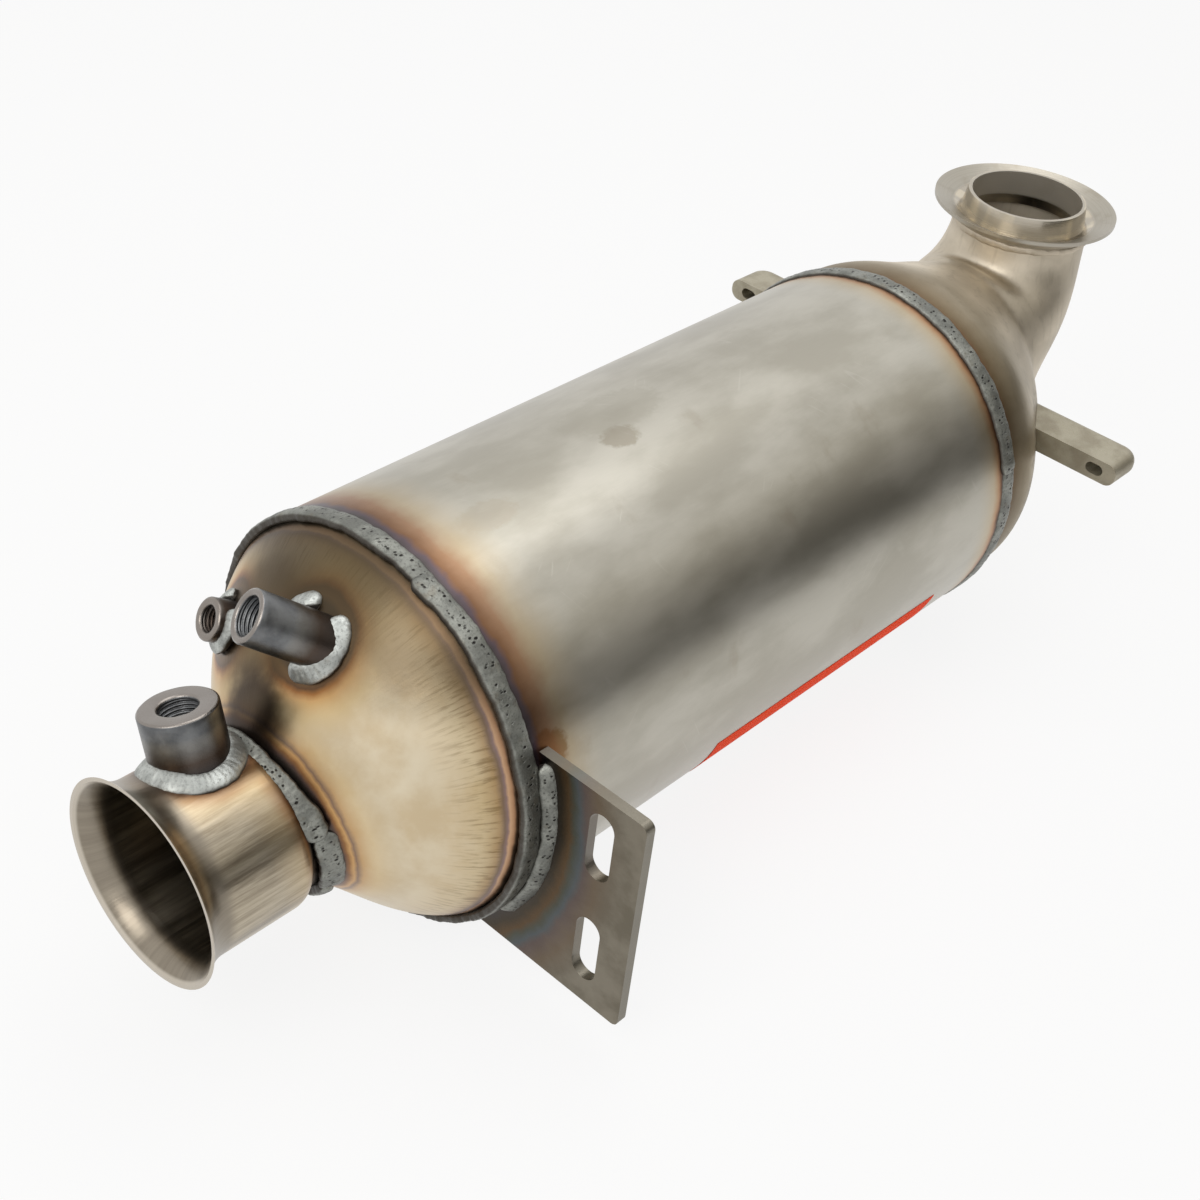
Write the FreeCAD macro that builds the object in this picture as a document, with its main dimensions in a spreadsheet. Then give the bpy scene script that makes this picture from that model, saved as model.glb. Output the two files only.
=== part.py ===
import FreeCAD, Part
import math
import os
import Sketcher

# Diesel particulate filter with an offset flared inlet and an upturned clamp-flange outlet.
# The frame's origin is on the inlet neck's axis, where its flare ends and its straight bore begins.
# X runs along the neck and the can towards the rear elbow. Z is up, along the outlet's axis, and XZ
# is the plane that halves the elbow and the inlet neck. Sizes below are measured from the can's own
# axis and front ring, which lie behind and above the origin.

V = FreeCAD.Vector
os.makedirs("parts", exist_ok=True)
doc = FreeCAD.newDocument("diesel_particulate_filter")

# Driving dimensions in millimetres and degrees: alias, value, meaning
DIMENSIONS = [
    ("can_od", 153, "outer diameter of the rolled can"),
    ("can_wall", 1.5, "sheet of the can"),
    ("can_length", 279, "length of the can from ring to ring"),
    ("skirt_gap", 0.1, "slip clearance of each cone's skirt in the can"),
    ("skirt_depth", 9, "how far a skirt slips into the can"),
    ("cone_wall", 1.5, "sheet of the pressed cones"),
    ("cone_setback", 2, "start of the front cone's slope ahead of the ring"),
    ("cone_shoulder_x", 16.2, "first section of the front cone, ahead of the ring"),
    ("cone_shoulder_r", 65.6, "outer radius of that section"),
    ("cone_shoulder_lean", 3.7, "lean of that section in degrees"),
    ("cone_waist_x", 30.4, "second section of the front cone"),
    ("cone_waist_r", 50, "outer radius of that section"),
    ("cone_waist_lean", 7.3, "lean of that section in degrees"),
    ("mouth_x", 45, "centre of the front cone's mouth, ahead of the ring"),
    ("mouth_lean", 11, "lean of the mouth in degrees"),
    ("neck_od", 65, "outer diameter of the inlet neck"),
    ("neck_wall", 1.5, "wall of the inlet neck"),
    ("neck_drop", 14.1, "neck axis below the can's axis"),
    ("neck_front", 97.4, "flare rim ahead of the ring"),
    ("flare_od", 75.6, "outer diameter of the flared rim"),
    ("flare_length", 11, "length of the flare's bell"),
    ("spigot_od", 58, "outer diameter of the neck's drawn-in end"),
    ("spigot_gap", 0.1, "slip clearance of the spigot in the cone's mouth"),
    ("spigot_depth", 9, "how far the spigot reaches past the mouth's centre"),
    ("draw_in_x", 57, "where the neck starts to draw in, ahead of the ring"),
    ("draw_in_length", 6, "length of the drawn-in shoulder"),
    ("brow_x", 12, "first oval of the rear elbow, behind the can"),
    ("brow_rise", 0.8, "height of that oval's centre"),
    ("brow_half_height", 74.7, "half of its height in the middle plane"),
    ("brow_half_width", 74.7, "half of its width across the middle plane"),
    ("brow_lean", 1.2, "lean of that oval in degrees"),
    ("crown_x", 25.5, "second oval of the rear elbow, behind the can"),
    ("crown_rise", 1.8, "height of that oval's centre"),
    ("crown_half_height", 73.8, "half of its height in the middle plane"),
    ("crown_half_width", 73.6, "half of its width across the middle plane"),
    ("crown_lean", 2.8, "lean of that oval in degrees"),
    ("dome_x", 42.7, "third oval of the rear elbow, behind the can"),
    ("dome_rise", 3.8, "height of that oval's centre"),
    ("dome_half_height", 68.3, "half of its height in the middle plane"),
    ("dome_half_width", 64.5, "half of its width across the middle plane"),
    ("dome_lean", 5.7, "lean of that oval in degrees"),
    ("belly_x", 57.5, "fourth oval of the rear elbow, behind the can"),
    ("belly_rise", 9.2, "height of that oval's centre"),
    ("belly_half_height", 61.1, "half of its height in the middle plane"),
    ("belly_half_width", 55.1, "half of its width across the middle plane"),
    ("belly_lean", 9.9, "lean of that oval in degrees"),
    ("flank_x", 69.5, "fifth oval of the rear elbow, behind the can"),
    ("flank_rise", 17.8, "height of that oval's centre"),
    ("flank_half_height", 51.5, "half of its height in the middle plane"),
    ("flank_half_width", 43.9, "half of its width across the middle plane"),
    ("flank_lean", 15.2, "lean of that oval in degrees"),
    ("bend_x", 79.6, "sixth oval of the rear elbow, behind the can"),
    ("bend_rise", 31.3, "height of that oval's centre"),
    ("bend_half_height", 40.1, "half of its height in the middle plane"),
    ("bend_half_width", 36.9, "half of its width across the middle plane"),
    ("bend_lean", 25.9, "lean of that oval in degrees"),
    ("throat_x", 91, "seventh oval of the rear elbow, behind the can"),
    ("throat_rise", 43, "height of that oval's centre"),
    ("throat_half_height", 33.2, "half of its height in the middle plane"),
    ("throat_half_width", 35.1, "half of its width across the middle plane"),
    ("throat_lean", 46.2, "lean of that oval in degrees"),
    ("stack_x", 100.4, "eighth oval of the rear elbow, behind the can"),
    ("stack_rise", 60, "height of that oval's centre"),
    ("stack_half_height", 31.1, "half of its height in the middle plane"),
    ("stack_half_width", 31.3, "half of its width across the middle plane"),
    ("stack_lean", 71.2, "lean of that oval in degrees"),
    ("outlet_x", 101.8, "outlet axis behind the can"),
    ("outlet_rise", 77.8, "top edge of the elbow above the can's axis"),
    ("outlet_od", 59.6, "outer diameter of the elbow's outlet"),
    ("flange_gap", 0.1, "slip clearance of the flange's skirt in the outlet"),
    ("flange_skirt", 4, "length of the flange's skirt"),
    ("flange_wall", 1.6, "sheet of the flange"),
    ("brim_od", 80.6, "outer diameter of the flange's brim"),
    ("brim_rise", 7, "rise of the dished brim to its edge"),
    ("collar_od", 52.2, "outer diameter of the collar's rim"),
    ("collar_height", 12, "height of the collar above the outlet edge"),
    ("boss_thread", 12.5, "bore of the threaded bosses, cut for M14 x 1.5"),
    ("bore_chamfer", 1, "chamfer of a boss bore"),
    ("temperature_boss_od", 26.6, "outer diameter of the neck's boss"),
    ("temperature_boss_x", 69.4, "axis of the neck's boss ahead of the ring"),
    ("temperature_boss_height", 51.4, "top of the neck's boss above the neck's axis"),
    ("temperature_boss_turn", 17, "turn of the neck's boss away from upright"),
    ("pressure_boss_od", 18.4, "outer diameter of the long boss on the cone"),
    ("pressure_boss_length", 36, "length of the long boss with its trimmed root"),
    ("pressure_boss_x", 49, "mouth of the long boss ahead of the ring"),
    ("pressure_boss_y", 6, "mouth of the long boss beside the middle plane"),
    ("pressure_boss_z", 66, "mouth of the long boss above the can's axis"),
    ("pressure_boss_pitch", 32.7, "rise of the long boss's axis in degrees"),
    ("pressure_boss_yaw", 26.5, "sideways turn of the long boss's axis"),
    ("side_boss_od", 15.2, "outer diameter of the short boss on the cone"),
    ("side_boss_thread", 8.5, "bore of the short boss, cut for M10 x 1.5"),
    ("side_boss_length", 18, "length of the short boss with its trimmed root"),
    ("side_boss_x", 36, "mouth of the short boss ahead of the ring"),
    ("side_boss_y", 44, "mouth of the short boss beside the middle plane"),
    ("side_boss_z", 35, "mouth of the short boss above the can's axis"),
    ("side_boss_pitch", 27.5, "rise of the short boss's axis in degrees"),
    ("side_boss_yaw", 16.3, "sideways turn of the short boss's axis"),
    ("ring_bead_r", 3.4, "radius of the ring weld's bead"),
    ("neck_bead_r", 3.2, "radius of the neck weld's bead"),
    ("boss_bead_r", 3, "radius of the two large bosses' weld beads"),
    ("side_bead_r", 2.4, "radius of the short boss's weld bead"),
    ("flange_bead_r", 1.8, "radius of the flange's weld bead"),
    ("bracket_x", 6, "front face of the bracket plate behind the ring"),
    ("bracket_plate", 4, "thickness of the bracket plate"),
    ("bracket_reach", 117, "outer edge of the plate from the can's axis"),
    ("bracket_top", 29.5, "top edge of the plate above the can's axis"),
    ("bracket_bottom", 63.3, "bottom edge of the plate below the can's axis"),
    ("bracket_corner", 3, "corner radius of the plate"),
    ("slot_reach", 99.5, "slots' middle from the can's axis"),
    ("slot_width", 10.5, "width of each slot"),
    ("slot_length", 28, "overall length of each slot"),
    ("slot_pitch", 47, "pitch of the two slots"),
    ("slot_top", 8.2, "centre of the upper slot above the can's axis"),
    ("bracket_bead_r", 3, "radius of the bracket's weld bead"),
    ("lug_x", 36, "front face of the cast lugs behind the can"),
    ("lug_depth", 22, "depth of a lug along the can"),
    ("lug_root", 40, "trimmed root of a lug from the middle plane"),
    ("lug_low", 15.5, "underside of a lug above the can's axis"),
    ("lug_height", 10, "height of a lug"),
    ("lug_reach", 104, "tip of a lug from the middle plane"),
    ("lug_eye_reach", 94, "eye of a lug from the middle plane"),
    ("lug_eye_width", 8, "width of the eye's oblong hole"),
    ("lug_eye_height", 5, "height of the eye's oblong hole"),
    ("lug_tip_round", 8, "rounding of a lug's rear corner"),
    ("lug_edge_round", 4.5, "rounding of a lug's tip along the can"),
    ("lug_bead_r", 2.8, "radius of a lug's weld bead"),
    ("seam_bead_r", 3, "radius of the can's long seam bead"),
    ("seam_margin", 4, "bare end of the seam beside each ring weld"),
    ("seam_height", 0.8, "height of the seam bead above the can"),
    ("seam_turn", -60, "angle of the seam round the can"),
    ("label_skin", 0.2, "thickness of the bare label"),
    ("label_start", 103, "front edge of the label behind the ring"),
    ("label_length", 140, "length of the label"),
    ("label_turn", 197.5, "angle where the label starts round the can"),
    ("label_sweep", 34, "angle that the label covers"),
    ("brick_od", 143.8, "diameter of both ceramic bricks"),
    ("mat_gap", 0.1, "clearance of each mat in the can"),
    ("catalyst_start", 14, "front face of the short brick behind the ring"),
    ("catalyst_length", 76, "length of the short brick"),
    ("filter_start", 108, "front face of the long brick behind the ring"),
    ("filter_length", 152, "length of the long brick"),
    ("mat_margin", 6, "bare end of a brick beyond its mat"),
]

sheet = doc.addObject("Spreadsheet::Sheet", "sizes")
size = {}
for row, (alias, value, meaning) in enumerate(DIMENSIONS, start=1):
    sheet.set(f"A{row}", alias)
    sheet.set(f"B{row}", str(value))
    sheet.setAlias(f"B{row}", alias)
    sheet.set(f"C{row}", meaning)
    size[alias] = value
doc.recompute()


# Helpers


def bind(thing, formulas):
    """Tie each property of a thing to a formula of the sheet's sizes."""
    for name, formula in formulas.items():
        thing.setExpression(name, formula)


RING_X = "sizes.neck_front - sizes.flare_length"
CAN_Z = "sizes.neck_drop"


def put(thing, x="0", y="0", z="0", turn=None):
    """Place a thing, turned by a rotation, at a point given from the can's axis and front ring."""
    if turn is not None:
        thing.Placement = FreeCAD.Placement(V(0, 0, 0), turn)
    bind(
        thing,
        {
            "Placement.Base.x": f"{RING_X} + ({x})",
            "Placement.Base.y": y,
            "Placement.Base.z": f"{CAN_Z} + ({z})",
        },
    )
    return thing


def facing(direction):
    """Rotation that turns the Z axis to a direction."""
    return FreeCAD.Rotation(V(0, 0, 1), direction)


def inward(pitch, yaw):
    """Direction into the cone of a boss whose axis rises by pitch and turns aside by yaw."""
    rise = math.radians(pitch)
    aside = math.radians(yaw)
    return V(math.cos(rise) * math.cos(aside), -math.cos(rise) * math.sin(aside), -math.sin(rise))


def cylinder(name, radius, length, x="0", y="0", z="0", turn=None):
    solid = doc.addObject("Part::Cylinder", name)
    bind(solid, {"Radius": radius, "Height": length})
    return put(solid, x, y, z, turn)


def section(name, radius, x, z, lean):
    """Circle across the gas path: centre in the middle plane, axis leaned up from the can's."""
    ring = doc.addObject("Part::Circle", name)
    bind(ring, {"Radius": radius})
    put(ring, x, "0", z, FreeCAD.Rotation(V(0, 1, 0), 45))
    bind(ring, {"Placement.Rotation.Angle": f"90 - ({lean})"})
    return ring


def oval(name, part, inset):
    """Ellipse across the elbow at one of its named stations, its half axes less an inset."""
    ring = doc.addObject("Part::Ellipse", name)
    height = f"sizes.{part}_half_height - {inset}"
    width = f"sizes.{part}_half_width - {inset}"
    upright = size[f"{part}_half_height"] > size[f"{part}_half_width"]
    bind(ring, {"MajorRadius": height if upright else width, "MinorRadius": width if upright else height})
    roll = FreeCAD.Rotation(V(0, 0, 1), 0 if upright else 90)
    lean = FreeCAD.Rotation(V(0, 1, 0), 90 - size[f"{part}_lean"])
    return put(ring, f"sizes.can_length + sizes.{part}_x", "0", f"sizes.{part}_rise", lean * roll)


def loft(name, rings):
    solid = doc.addObject("Part::Loft", name)
    solid.Sections = rings
    solid.Solid = True
    solid.Ruled = False
    return solid


def cut(name, base, *tools):
    """Base less every tool, as a chain of cuts."""
    for count, tool in enumerate(tools, start=1):
        result = doc.addObject("Part::Cut", name if count == len(tools) else f"{name}_step{count}")
        result.Base = base
        result.Tool = tool
        base = result
    return base


def fuse(name, *pieces):
    whole = doc.addObject("Part::MultiFuse", name)
    whole.Shapes = list(pieces)
    return whole


def body_sketch(body, name, role):
    """Empty sketch on one of a body's own origin planes."""
    sketch = body.newObject("Sketcher::SketchObject", name)
    plane = next(part for part in body.Origin.OriginFeatures if part.Role == role)
    sketch.AttachmentSupport = (plane, "")
    sketch.MapMode = "FlatFace"
    return sketch


def draw(sketch, corners, arcs=None):
    """Closed outline through corners given as sheet formulas.

    The corners are set first as reference points. Each side is then a line, or an arc whose
    centre lies at the x of the corner named in arcs, so that it runs smoothly on there.
    """
    arcs = arcs or {}
    count = len(corners)
    for index, (x, y) in enumerate(corners):
        turn = 2 * math.pi * index / count
        start = V(50 * math.cos(turn), 50 * math.sin(turn), 0)
        sketch.addGeometry(Part.Point(start), True)
        across = sketch.addConstraint(Sketcher.Constraint("DistanceX", index, 1, start.x))
        sketch.setExpression(f"Constraints[{across}]", x)
        upward = sketch.addConstraint(Sketcher.Constraint("DistanceY", index, 1, start.y))
        sketch.setExpression(f"Constraints[{upward}]", y)
    doc.recompute()
    spots = [V(sketch.Geometry[index].X, sketch.Geometry[index].Y, 0) for index in range(count)]
    for index in range(count):
        following = (index + 1) % count
        first = spots[index]
        last = spots[following]
        if index in arcs:
            smooth = arcs[index]
            near, far = (first, last) if smooth == index else (last, first)
            radius = (far - near).Length ** 2 / (2 * (far.y - near.y))
            centre = V(near.x, near.y + radius, 0)
            middle = centre + ((first + last) * 0.5 - centre).normalize() * abs(radius)
            side = Part.Arc(first, middle, last)
            place = sketch.addGeometry(side, False)
            begins = sketch.getPoint(place, 1).distanceToPoint(first) < sketch.getPoint(place, 2).distanceToPoint(first)
            ends = (1, 2) if begins else (2, 1)
            level = sketch.addConstraint(Sketcher.Constraint("DistanceX", place, 3, near.x))
            sketch.setExpression(f"Constraints[{level}]", corners[smooth][0])
        else:
            place = sketch.addGeometry(Part.LineSegment(first, last), False)
            ends = (1, 2)
        sketch.addConstraint(Sketcher.Constraint("Coincident", place, ends[0], index, 1))
        sketch.addConstraint(Sketcher.Constraint("Coincident", place, ends[1], following, 1))
    return sketch


def draw_circle(sketch, radius):
    """Circle round the sketch's origin."""
    sketch.addGeometry(Part.Circle(V(0, 0, 0), V(0, 0, 1), 10), False)
    sketch.addConstraint(Sketcher.Constraint("Coincident", 0, 3, -1, 1))
    width = sketch.addConstraint(Sketcher.Constraint("Radius", 0, 10))
    sketch.setExpression(f"Constraints[{width}]", radius)
    return sketch


def revolve(name, role, corners, axis, arcs=None):
    """Body turned from a closed outline."""
    body = doc.addObject("PartDesign::Body", name)
    sketch = draw(body_sketch(body, f"{name}_outline", role), corners, arcs)
    turning = body.newObject("PartDesign::Revolution", f"{name}_turning")
    turning.Profile = sketch
    turning.ReferenceAxis = (sketch, [axis])
    turning.Angle = 360
    sketch.Visibility = False
    return body


def pad(body, sketch, length):
    plate = body.newObject("PartDesign::Pad", f"{sketch.Name}_pad")
    plate.Profile = sketch
    bind(plate, {"Length": length})
    sketch.Visibility = False
    return plate


def pocket_through(body, sketch):
    """Hole through everything on both sides of the sketch."""
    hole = body.newObject("PartDesign::Pocket", f"{sketch.Name}_hole")
    hole.Profile = sketch
    hole.Type = "ThroughAll"
    hole.Midplane = True
    sketch.Visibility = False
    return hole


def circles_at(shape, radius, height):
    """Names of a shape's round edges of one radius at one height."""
    names = []
    for number, edge in enumerate(shape.Edges, start=1):
        curve = edge.Curve
        if not isinstance(curve, Part.Circle):
            continue
        if abs(curve.Radius - radius) < 0.01 and abs(curve.Center.z - height) < 0.01:
            names.append(f"Edge{number}")
    return names


def round_edges(body, base, names, kind, amount, formula):
    """Fillet or chamfer of named edges of a feature."""
    work = body.newObject(f"PartDesign::{kind}", f"{body.Name}_{kind.lower()}")
    work.Base = (base, names)
    if kind == "Fillet":
        work.Radius = amount
        bind(work, {"Radius": formula})
    else:
        work.Size = amount
        bind(work, {"Size": formula})
    return work


def threaded_boss(name, od, bore, length):
    """Turned boss with its mouth at the body's origin and its root along +Z."""
    body = doc.addObject("PartDesign::Body", name)
    blank = pad(body, draw_circle(body_sketch(body, f"{name}_blank", "XY_Plane"), f"sizes.{od} / 2"), length)
    bored = pocket_through(body, draw_circle(body_sketch(body, f"{name}_bore", "XY_Plane"), f"sizes.{bore} / 2"))
    doc.recompute()
    edges = circles_at(bored.Shape, size[bore] / 2, 0)
    eased = round_edges(body, bored, edges, "Chamfer", size["bore_chamfer"], "sizes.bore_chamfer")
    doc.recompute()
    edges = circles_at(eased.Shape, size[od] / 2, 0)
    rim = body.newObject("PartDesign::Chamfer", f"{name}_rim")
    rim.Base = (eased, edges)
    rim.Size = size["bore_chamfer"] / 2
    bind(rim, {"Size": "sizes.bore_chamfer / 2"})
    return body


def bead_ring(name, major, minor, start, end, x, z="0", lean=0, caps="both"):
    """Stretch of weld bead round the gas path between two angles, its free ends rounded.

    The angle runs from +Y over +Z. The ring's axis leans up from the can's axis.
    """
    to_path = FreeCAD.Rotation(V(0, 1, 0), -lean) * FreeCAD.Rotation(V(1, 1, 1), 120)
    run = doc.addObject("Part::Torus", f"{name}_run")
    bind(run, {"Radius1": major, "Radius2": minor})
    run.Angle3 = end - start
    put(run, x, "0", z, to_path * FreeCAD.Rotation(V(0, 0, 1), start))
    pieces = [run]
    for side, angle in (("start", start), ("end", end)):
        if caps not in ("both", side):
            continue
        cap = doc.addObject("Part::Sphere", f"{name}_{side}")
        bind(cap, {"Radius": minor})
        outward = f"({major}) * sin({angle})"
        put(
            cap,
            f"({x}) - {outward} * sin({lean})",
            f"({major}) * cos({angle})",
            f"({z}) + {outward} * cos({lean})",
        )
        pieces.append(cap)
    return fuse(f"{name}_bead", *pieces) if caps != "none" else run


def foot_of(core, mouth, direction, reach=80):
    """Point where a boss axis, followed inward from the mouth, meets a core's skin."""
    axis = Part.makeLine(mouth, mouth + direction * reach)
    inside = axis.common(core.Shape)
    return min((corner.Point for corner in inside.Vertexes), key=lambda point: point.distanceToPoint(mouth))


def bead_at(name, point, axis, major, minor, start, end):
    """Stretch of weld bead round a boss foot, with rounded ends."""
    turn = facing(axis)
    middle = Part.makeTorus(major, minor, V(0, 0, 0), V(0, 0, 1), -180, 180, end - start)
    middle.rotate(V(0, 0, 0), V(0, 0, 1), start)
    pieces = [middle]
    for angle in (math.radians(start), math.radians(end)):
        pieces.append(Part.makeSphere(minor, V(major * math.cos(angle), major * math.sin(angle), 0)))
    bead = doc.addObject("Part::Feature", name)
    bead.Shape = pieces[0].fuse(pieces[1:])
    bead.Placement = FreeCAD.Placement(point, turn)
    return bead


def draw_slot(sketch, across, up, length, width, upright):
    """Slot with round ends, its middle at a point given as sheet formulas."""
    reach = f"(({length}) - ({width})) / 2"
    half = f"({width}) / 2"
    low, high = (V(0, -10, 0), V(0, 10, 0)) if upright else (V(-10, 0, 0), V(10, 0, 0))
    along = (high - low).normalize()
    side = V(0, 0, 1).cross(along) * 3
    sketch.addGeometry(Part.Arc(high - side, high + along * 3, high + side), False)
    sketch.addGeometry(Part.Arc(low + side, low - along * 3, low - side), False)
    sketch.addGeometry(Part.LineSegment(high + side, low + side), False)
    sketch.addGeometry(Part.LineSegment(low - side, high - side), False)
    for arc, arc_end, line, line_end in ((0, 2, 2, 1), (1, 1, 2, 2), (1, 2, 3, 1), (0, 1, 3, 2)):
        sketch.addConstraint(Sketcher.Constraint("Tangent", arc, arc_end, line, line_end))
    sketch.addConstraint(Sketcher.Constraint("Equal", 0, 1))
    rounding = sketch.addConstraint(Sketcher.Constraint("Radius", 0, 3))
    sketch.setExpression(f"Constraints[{rounding}]", half)
    for arc, sign, end in ((0, "+", high), (1, "-", low)):
        level = sketch.addConstraint(Sketcher.Constraint("DistanceX", arc, 3, end.x))
        sketch.setExpression(f"Constraints[{level}]", across if upright else f"({across}) {sign} {reach}")
        level = sketch.addConstraint(Sketcher.Constraint("DistanceY", arc, 3, end.y))
        sketch.setExpression(f"Constraints[{level}]", f"({up}) {sign} {reach}" if upright else up)
    return sketch


def straight_edges(shape, direction, test):
    """Names of a shape's straight edges along a direction whose middle passes a test."""
    names = []
    for number, edge in enumerate(shape.Edges, start=1):
        if len(edge.Vertexes) != 2:
            continue
        run = edge.Vertexes[1].Point - edge.Vertexes[0].Point
        if abs(run.dot(direction)) < 0.999 * run.Length or not isinstance(edge.Curve, Part.Line):
            continue
        if test((edge.Vertexes[0].Point + edge.Vertexes[1].Point) * 0.5):
            names.append(f"Edge{number}")
    return names


# Can: one rolled sheet, open at both ends

TO_X = facing(V(1, 0, 0))
CAN_R = "sizes.can_od / 2"
BORE_R = "(sizes.can_od / 2 - sizes.can_wall)"
SKIRT_R = f"({BORE_R} - sizes.skirt_gap)"

can_core = cylinder("can_core", CAN_R, "sizes.can_length", turn=TO_X)
can_bore = cylinder("can_bore", BORE_R, "sizes.can_length", turn=TO_X)
can_shell = cut("can_shell", can_core, can_bore)


# Front cone: skirt that slips into the can, sloping wall, leaning mouth below the axis

MOUTH_R = "(sizes.spigot_od / 2 + sizes.spigot_gap + sizes.cone_wall)"
FALL = "sizes.neck_drop / (sizes.mouth_x - sizes.cone_setback)"


def front_cone_solid(name, inset):
    """Filled front cone, its radii less an inset."""
    skirt = cylinder(
        f"{name}_skirt",
        f"{SKIRT_R} - {inset}",
        "sizes.cone_setback + sizes.skirt_depth",
        x="-sizes.cone_setback",
        turn=TO_X,
    )
    rings = [
        section(f"{name}_base", f"{SKIRT_R} - {inset}", "-sizes.cone_setback", "0", "0"),
        section(
            f"{name}_shoulder",
            f"sizes.cone_shoulder_r - {inset}",
            "-sizes.cone_shoulder_x",
            f"-{FALL} * (sizes.cone_shoulder_x - sizes.cone_setback)",
            "sizes.cone_shoulder_lean",
        ),
        section(
            f"{name}_waist",
            f"sizes.cone_waist_r - {inset}",
            "-sizes.cone_waist_x",
            f"-{FALL} * (sizes.cone_waist_x - sizes.cone_setback)",
            "sizes.cone_waist_lean",
        ),
        section(f"{name}_mouth", f"{MOUTH_R} - {inset}", "-sizes.mouth_x", "-sizes.neck_drop", "sizes.mouth_lean"),
    ]
    return fuse(name, skirt, loft(f"{name}_slope", rings))


front_core = front_cone_solid("front_core", "0")
front_inside = front_cone_solid("front_inside", "sizes.cone_wall")


# Inlet neck: tube with a belled rim, its inner end drawn in to slip into the cone's mouth

NECK_R = "sizes.neck_od / 2"
inlet_neck_tube = revolve(
    "inlet_neck_tube",
    "XY_Plane",
    [
        ("-sizes.neck_front", "sizes.flare_od / 2"),
        ("-sizes.neck_front + sizes.flare_length", NECK_R),
        ("-sizes.draw_in_x", NECK_R),
        ("-sizes.draw_in_x + sizes.draw_in_length", "sizes.spigot_od / 2"),
        ("-sizes.mouth_x + sizes.spigot_depth", "sizes.spigot_od / 2"),
        ("-sizes.mouth_x + sizes.spigot_depth", "sizes.spigot_od / 2 - sizes.neck_wall"),
        ("-sizes.draw_in_x + sizes.draw_in_length", "sizes.spigot_od / 2 - sizes.neck_wall"),
        ("-sizes.draw_in_x", f"{NECK_R} - sizes.neck_wall"),
        ("-sizes.neck_front + sizes.flare_length", f"{NECK_R} - sizes.neck_wall"),
        ("-sizes.neck_front", "sizes.flare_od / 2 - sizes.neck_wall"),
    ],
    "H_Axis",
    arcs={0: 1, 2: 2, 6: 7, 8: 8},
)
put(inlet_neck_tube, z="-sizes.neck_drop")

neck_core = revolve(
    "neck_core",
    "XY_Plane",
    [
        ("-sizes.neck_front + sizes.flare_length", "0"),
        ("-sizes.neck_front + sizes.flare_length", NECK_R),
        ("-sizes.draw_in_x", NECK_R),
        ("-sizes.draw_in_x + sizes.draw_in_length", "sizes.spigot_od / 2"),
        ("-sizes.mouth_x + sizes.spigot_depth", "sizes.spigot_od / 2"),
        ("-sizes.mouth_x + sizes.spigot_depth", "0"),
    ],
    "H_Axis",
    arcs={2: 2},
)
put(neck_core, z="-sizes.neck_drop")
spigot_way = cylinder(
    "spigot_way",
    "sizes.spigot_od / 2 + sizes.spigot_gap",
    "sizes.draw_in_x",
    x="-sizes.draw_in_x",
    z="-sizes.neck_drop",
    turn=TO_X,
)


# Rear elbow: one pressing from the skirt in the can to the upright outlet. Ovals set across the
# gas path carry the full dome, the flank that falls away below and the neck that turns up.

OUTLET_R = "sizes.outlet_od / 2"
ELBOW_SKIRT_R = f"({SKIRT_R} - sizes.skirt_gap)"


def elbow_solid(name, inset):
    """Filled rear elbow, its sections less an inset."""
    rings = []
    for number, reach in enumerate(("sizes.skirt_depth", "sizes.skirt_depth / 2", "0"), start=1):
        rings.append(section(f"{name}_skirt{number}", f"{ELBOW_SKIRT_R} - {inset}", f"sizes.can_length - {reach}", "0", "0"))
    for part in ("brow", "crown", "dome", "belly", "flank", "bend", "throat", "stack"):
        rings.append(oval(f"{name}_{part}", part, inset))
    outlet_x = "sizes.can_length + sizes.outlet_x"
    rings.append(section(f"{name}_outlet", f"{OUTLET_R} - {inset}", outlet_x, "sizes.outlet_rise", "90"))
    return loft(name, rings)


elbow_core = elbow_solid("elbow_core", "0")
elbow_inside = elbow_solid("elbow_inside", "sizes.cone_wall")
rear_elbow = cut("rear_elbow", elbow_core, elbow_inside)


# Outlet flange: skirt in the outlet, dished brim, upright collar, all pressed from one sheet

FLANGE_R = f"({OUTLET_R} - sizes.cone_wall - sizes.flange_gap)"
outlet_flange = revolve(
    "outlet_flange",
    "XZ_Plane",
    [
        (f"{FLANGE_R} - sizes.flange_wall", "-sizes.flange_skirt"),
        (FLANGE_R, "-sizes.flange_skirt"),
        (FLANGE_R, "0"),
        (f"{OUTLET_R} + sizes.flange_gap", "sizes.flange_gap"),
        ("sizes.brim_od / 2", "sizes.brim_rise"),
        ("sizes.brim_od / 2", "sizes.brim_rise + sizes.flange_wall"),
        ("sizes.collar_od / 2 + sizes.flange_wall", "2 * sizes.flange_wall"),
        ("sizes.collar_od / 2", "sizes.collar_height"),
        ("sizes.collar_od / 2 - sizes.flange_wall", "sizes.collar_height"),
        ("sizes.collar_od / 2 - sizes.flange_wall", "sizes.flange_wall"),
    ],
    "V_Axis",
)
put(outlet_flange, x="sizes.can_length + sizes.outlet_x", z="sizes.outlet_rise")
doc.recompute()


# Sensor bosses: turned, bored and chamfered, each root trimmed to the skin it stands on


def seat_boss(name, od, bore, length, spot, direction, core):
    """Boss with its mouth at a spot, trimmed to a core, and the way its bore takes through the wall."""
    blank = threaded_boss(f"{name}_turned", od, bore, length)
    put(blank, *spot, turn=facing(direction))
    boss = cut(name, blank, core)
    way = cylinder(f"{name}_way", f"sizes.{bore} / 2", length, *spot, turn=facing(direction))
    return boss, way


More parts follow.
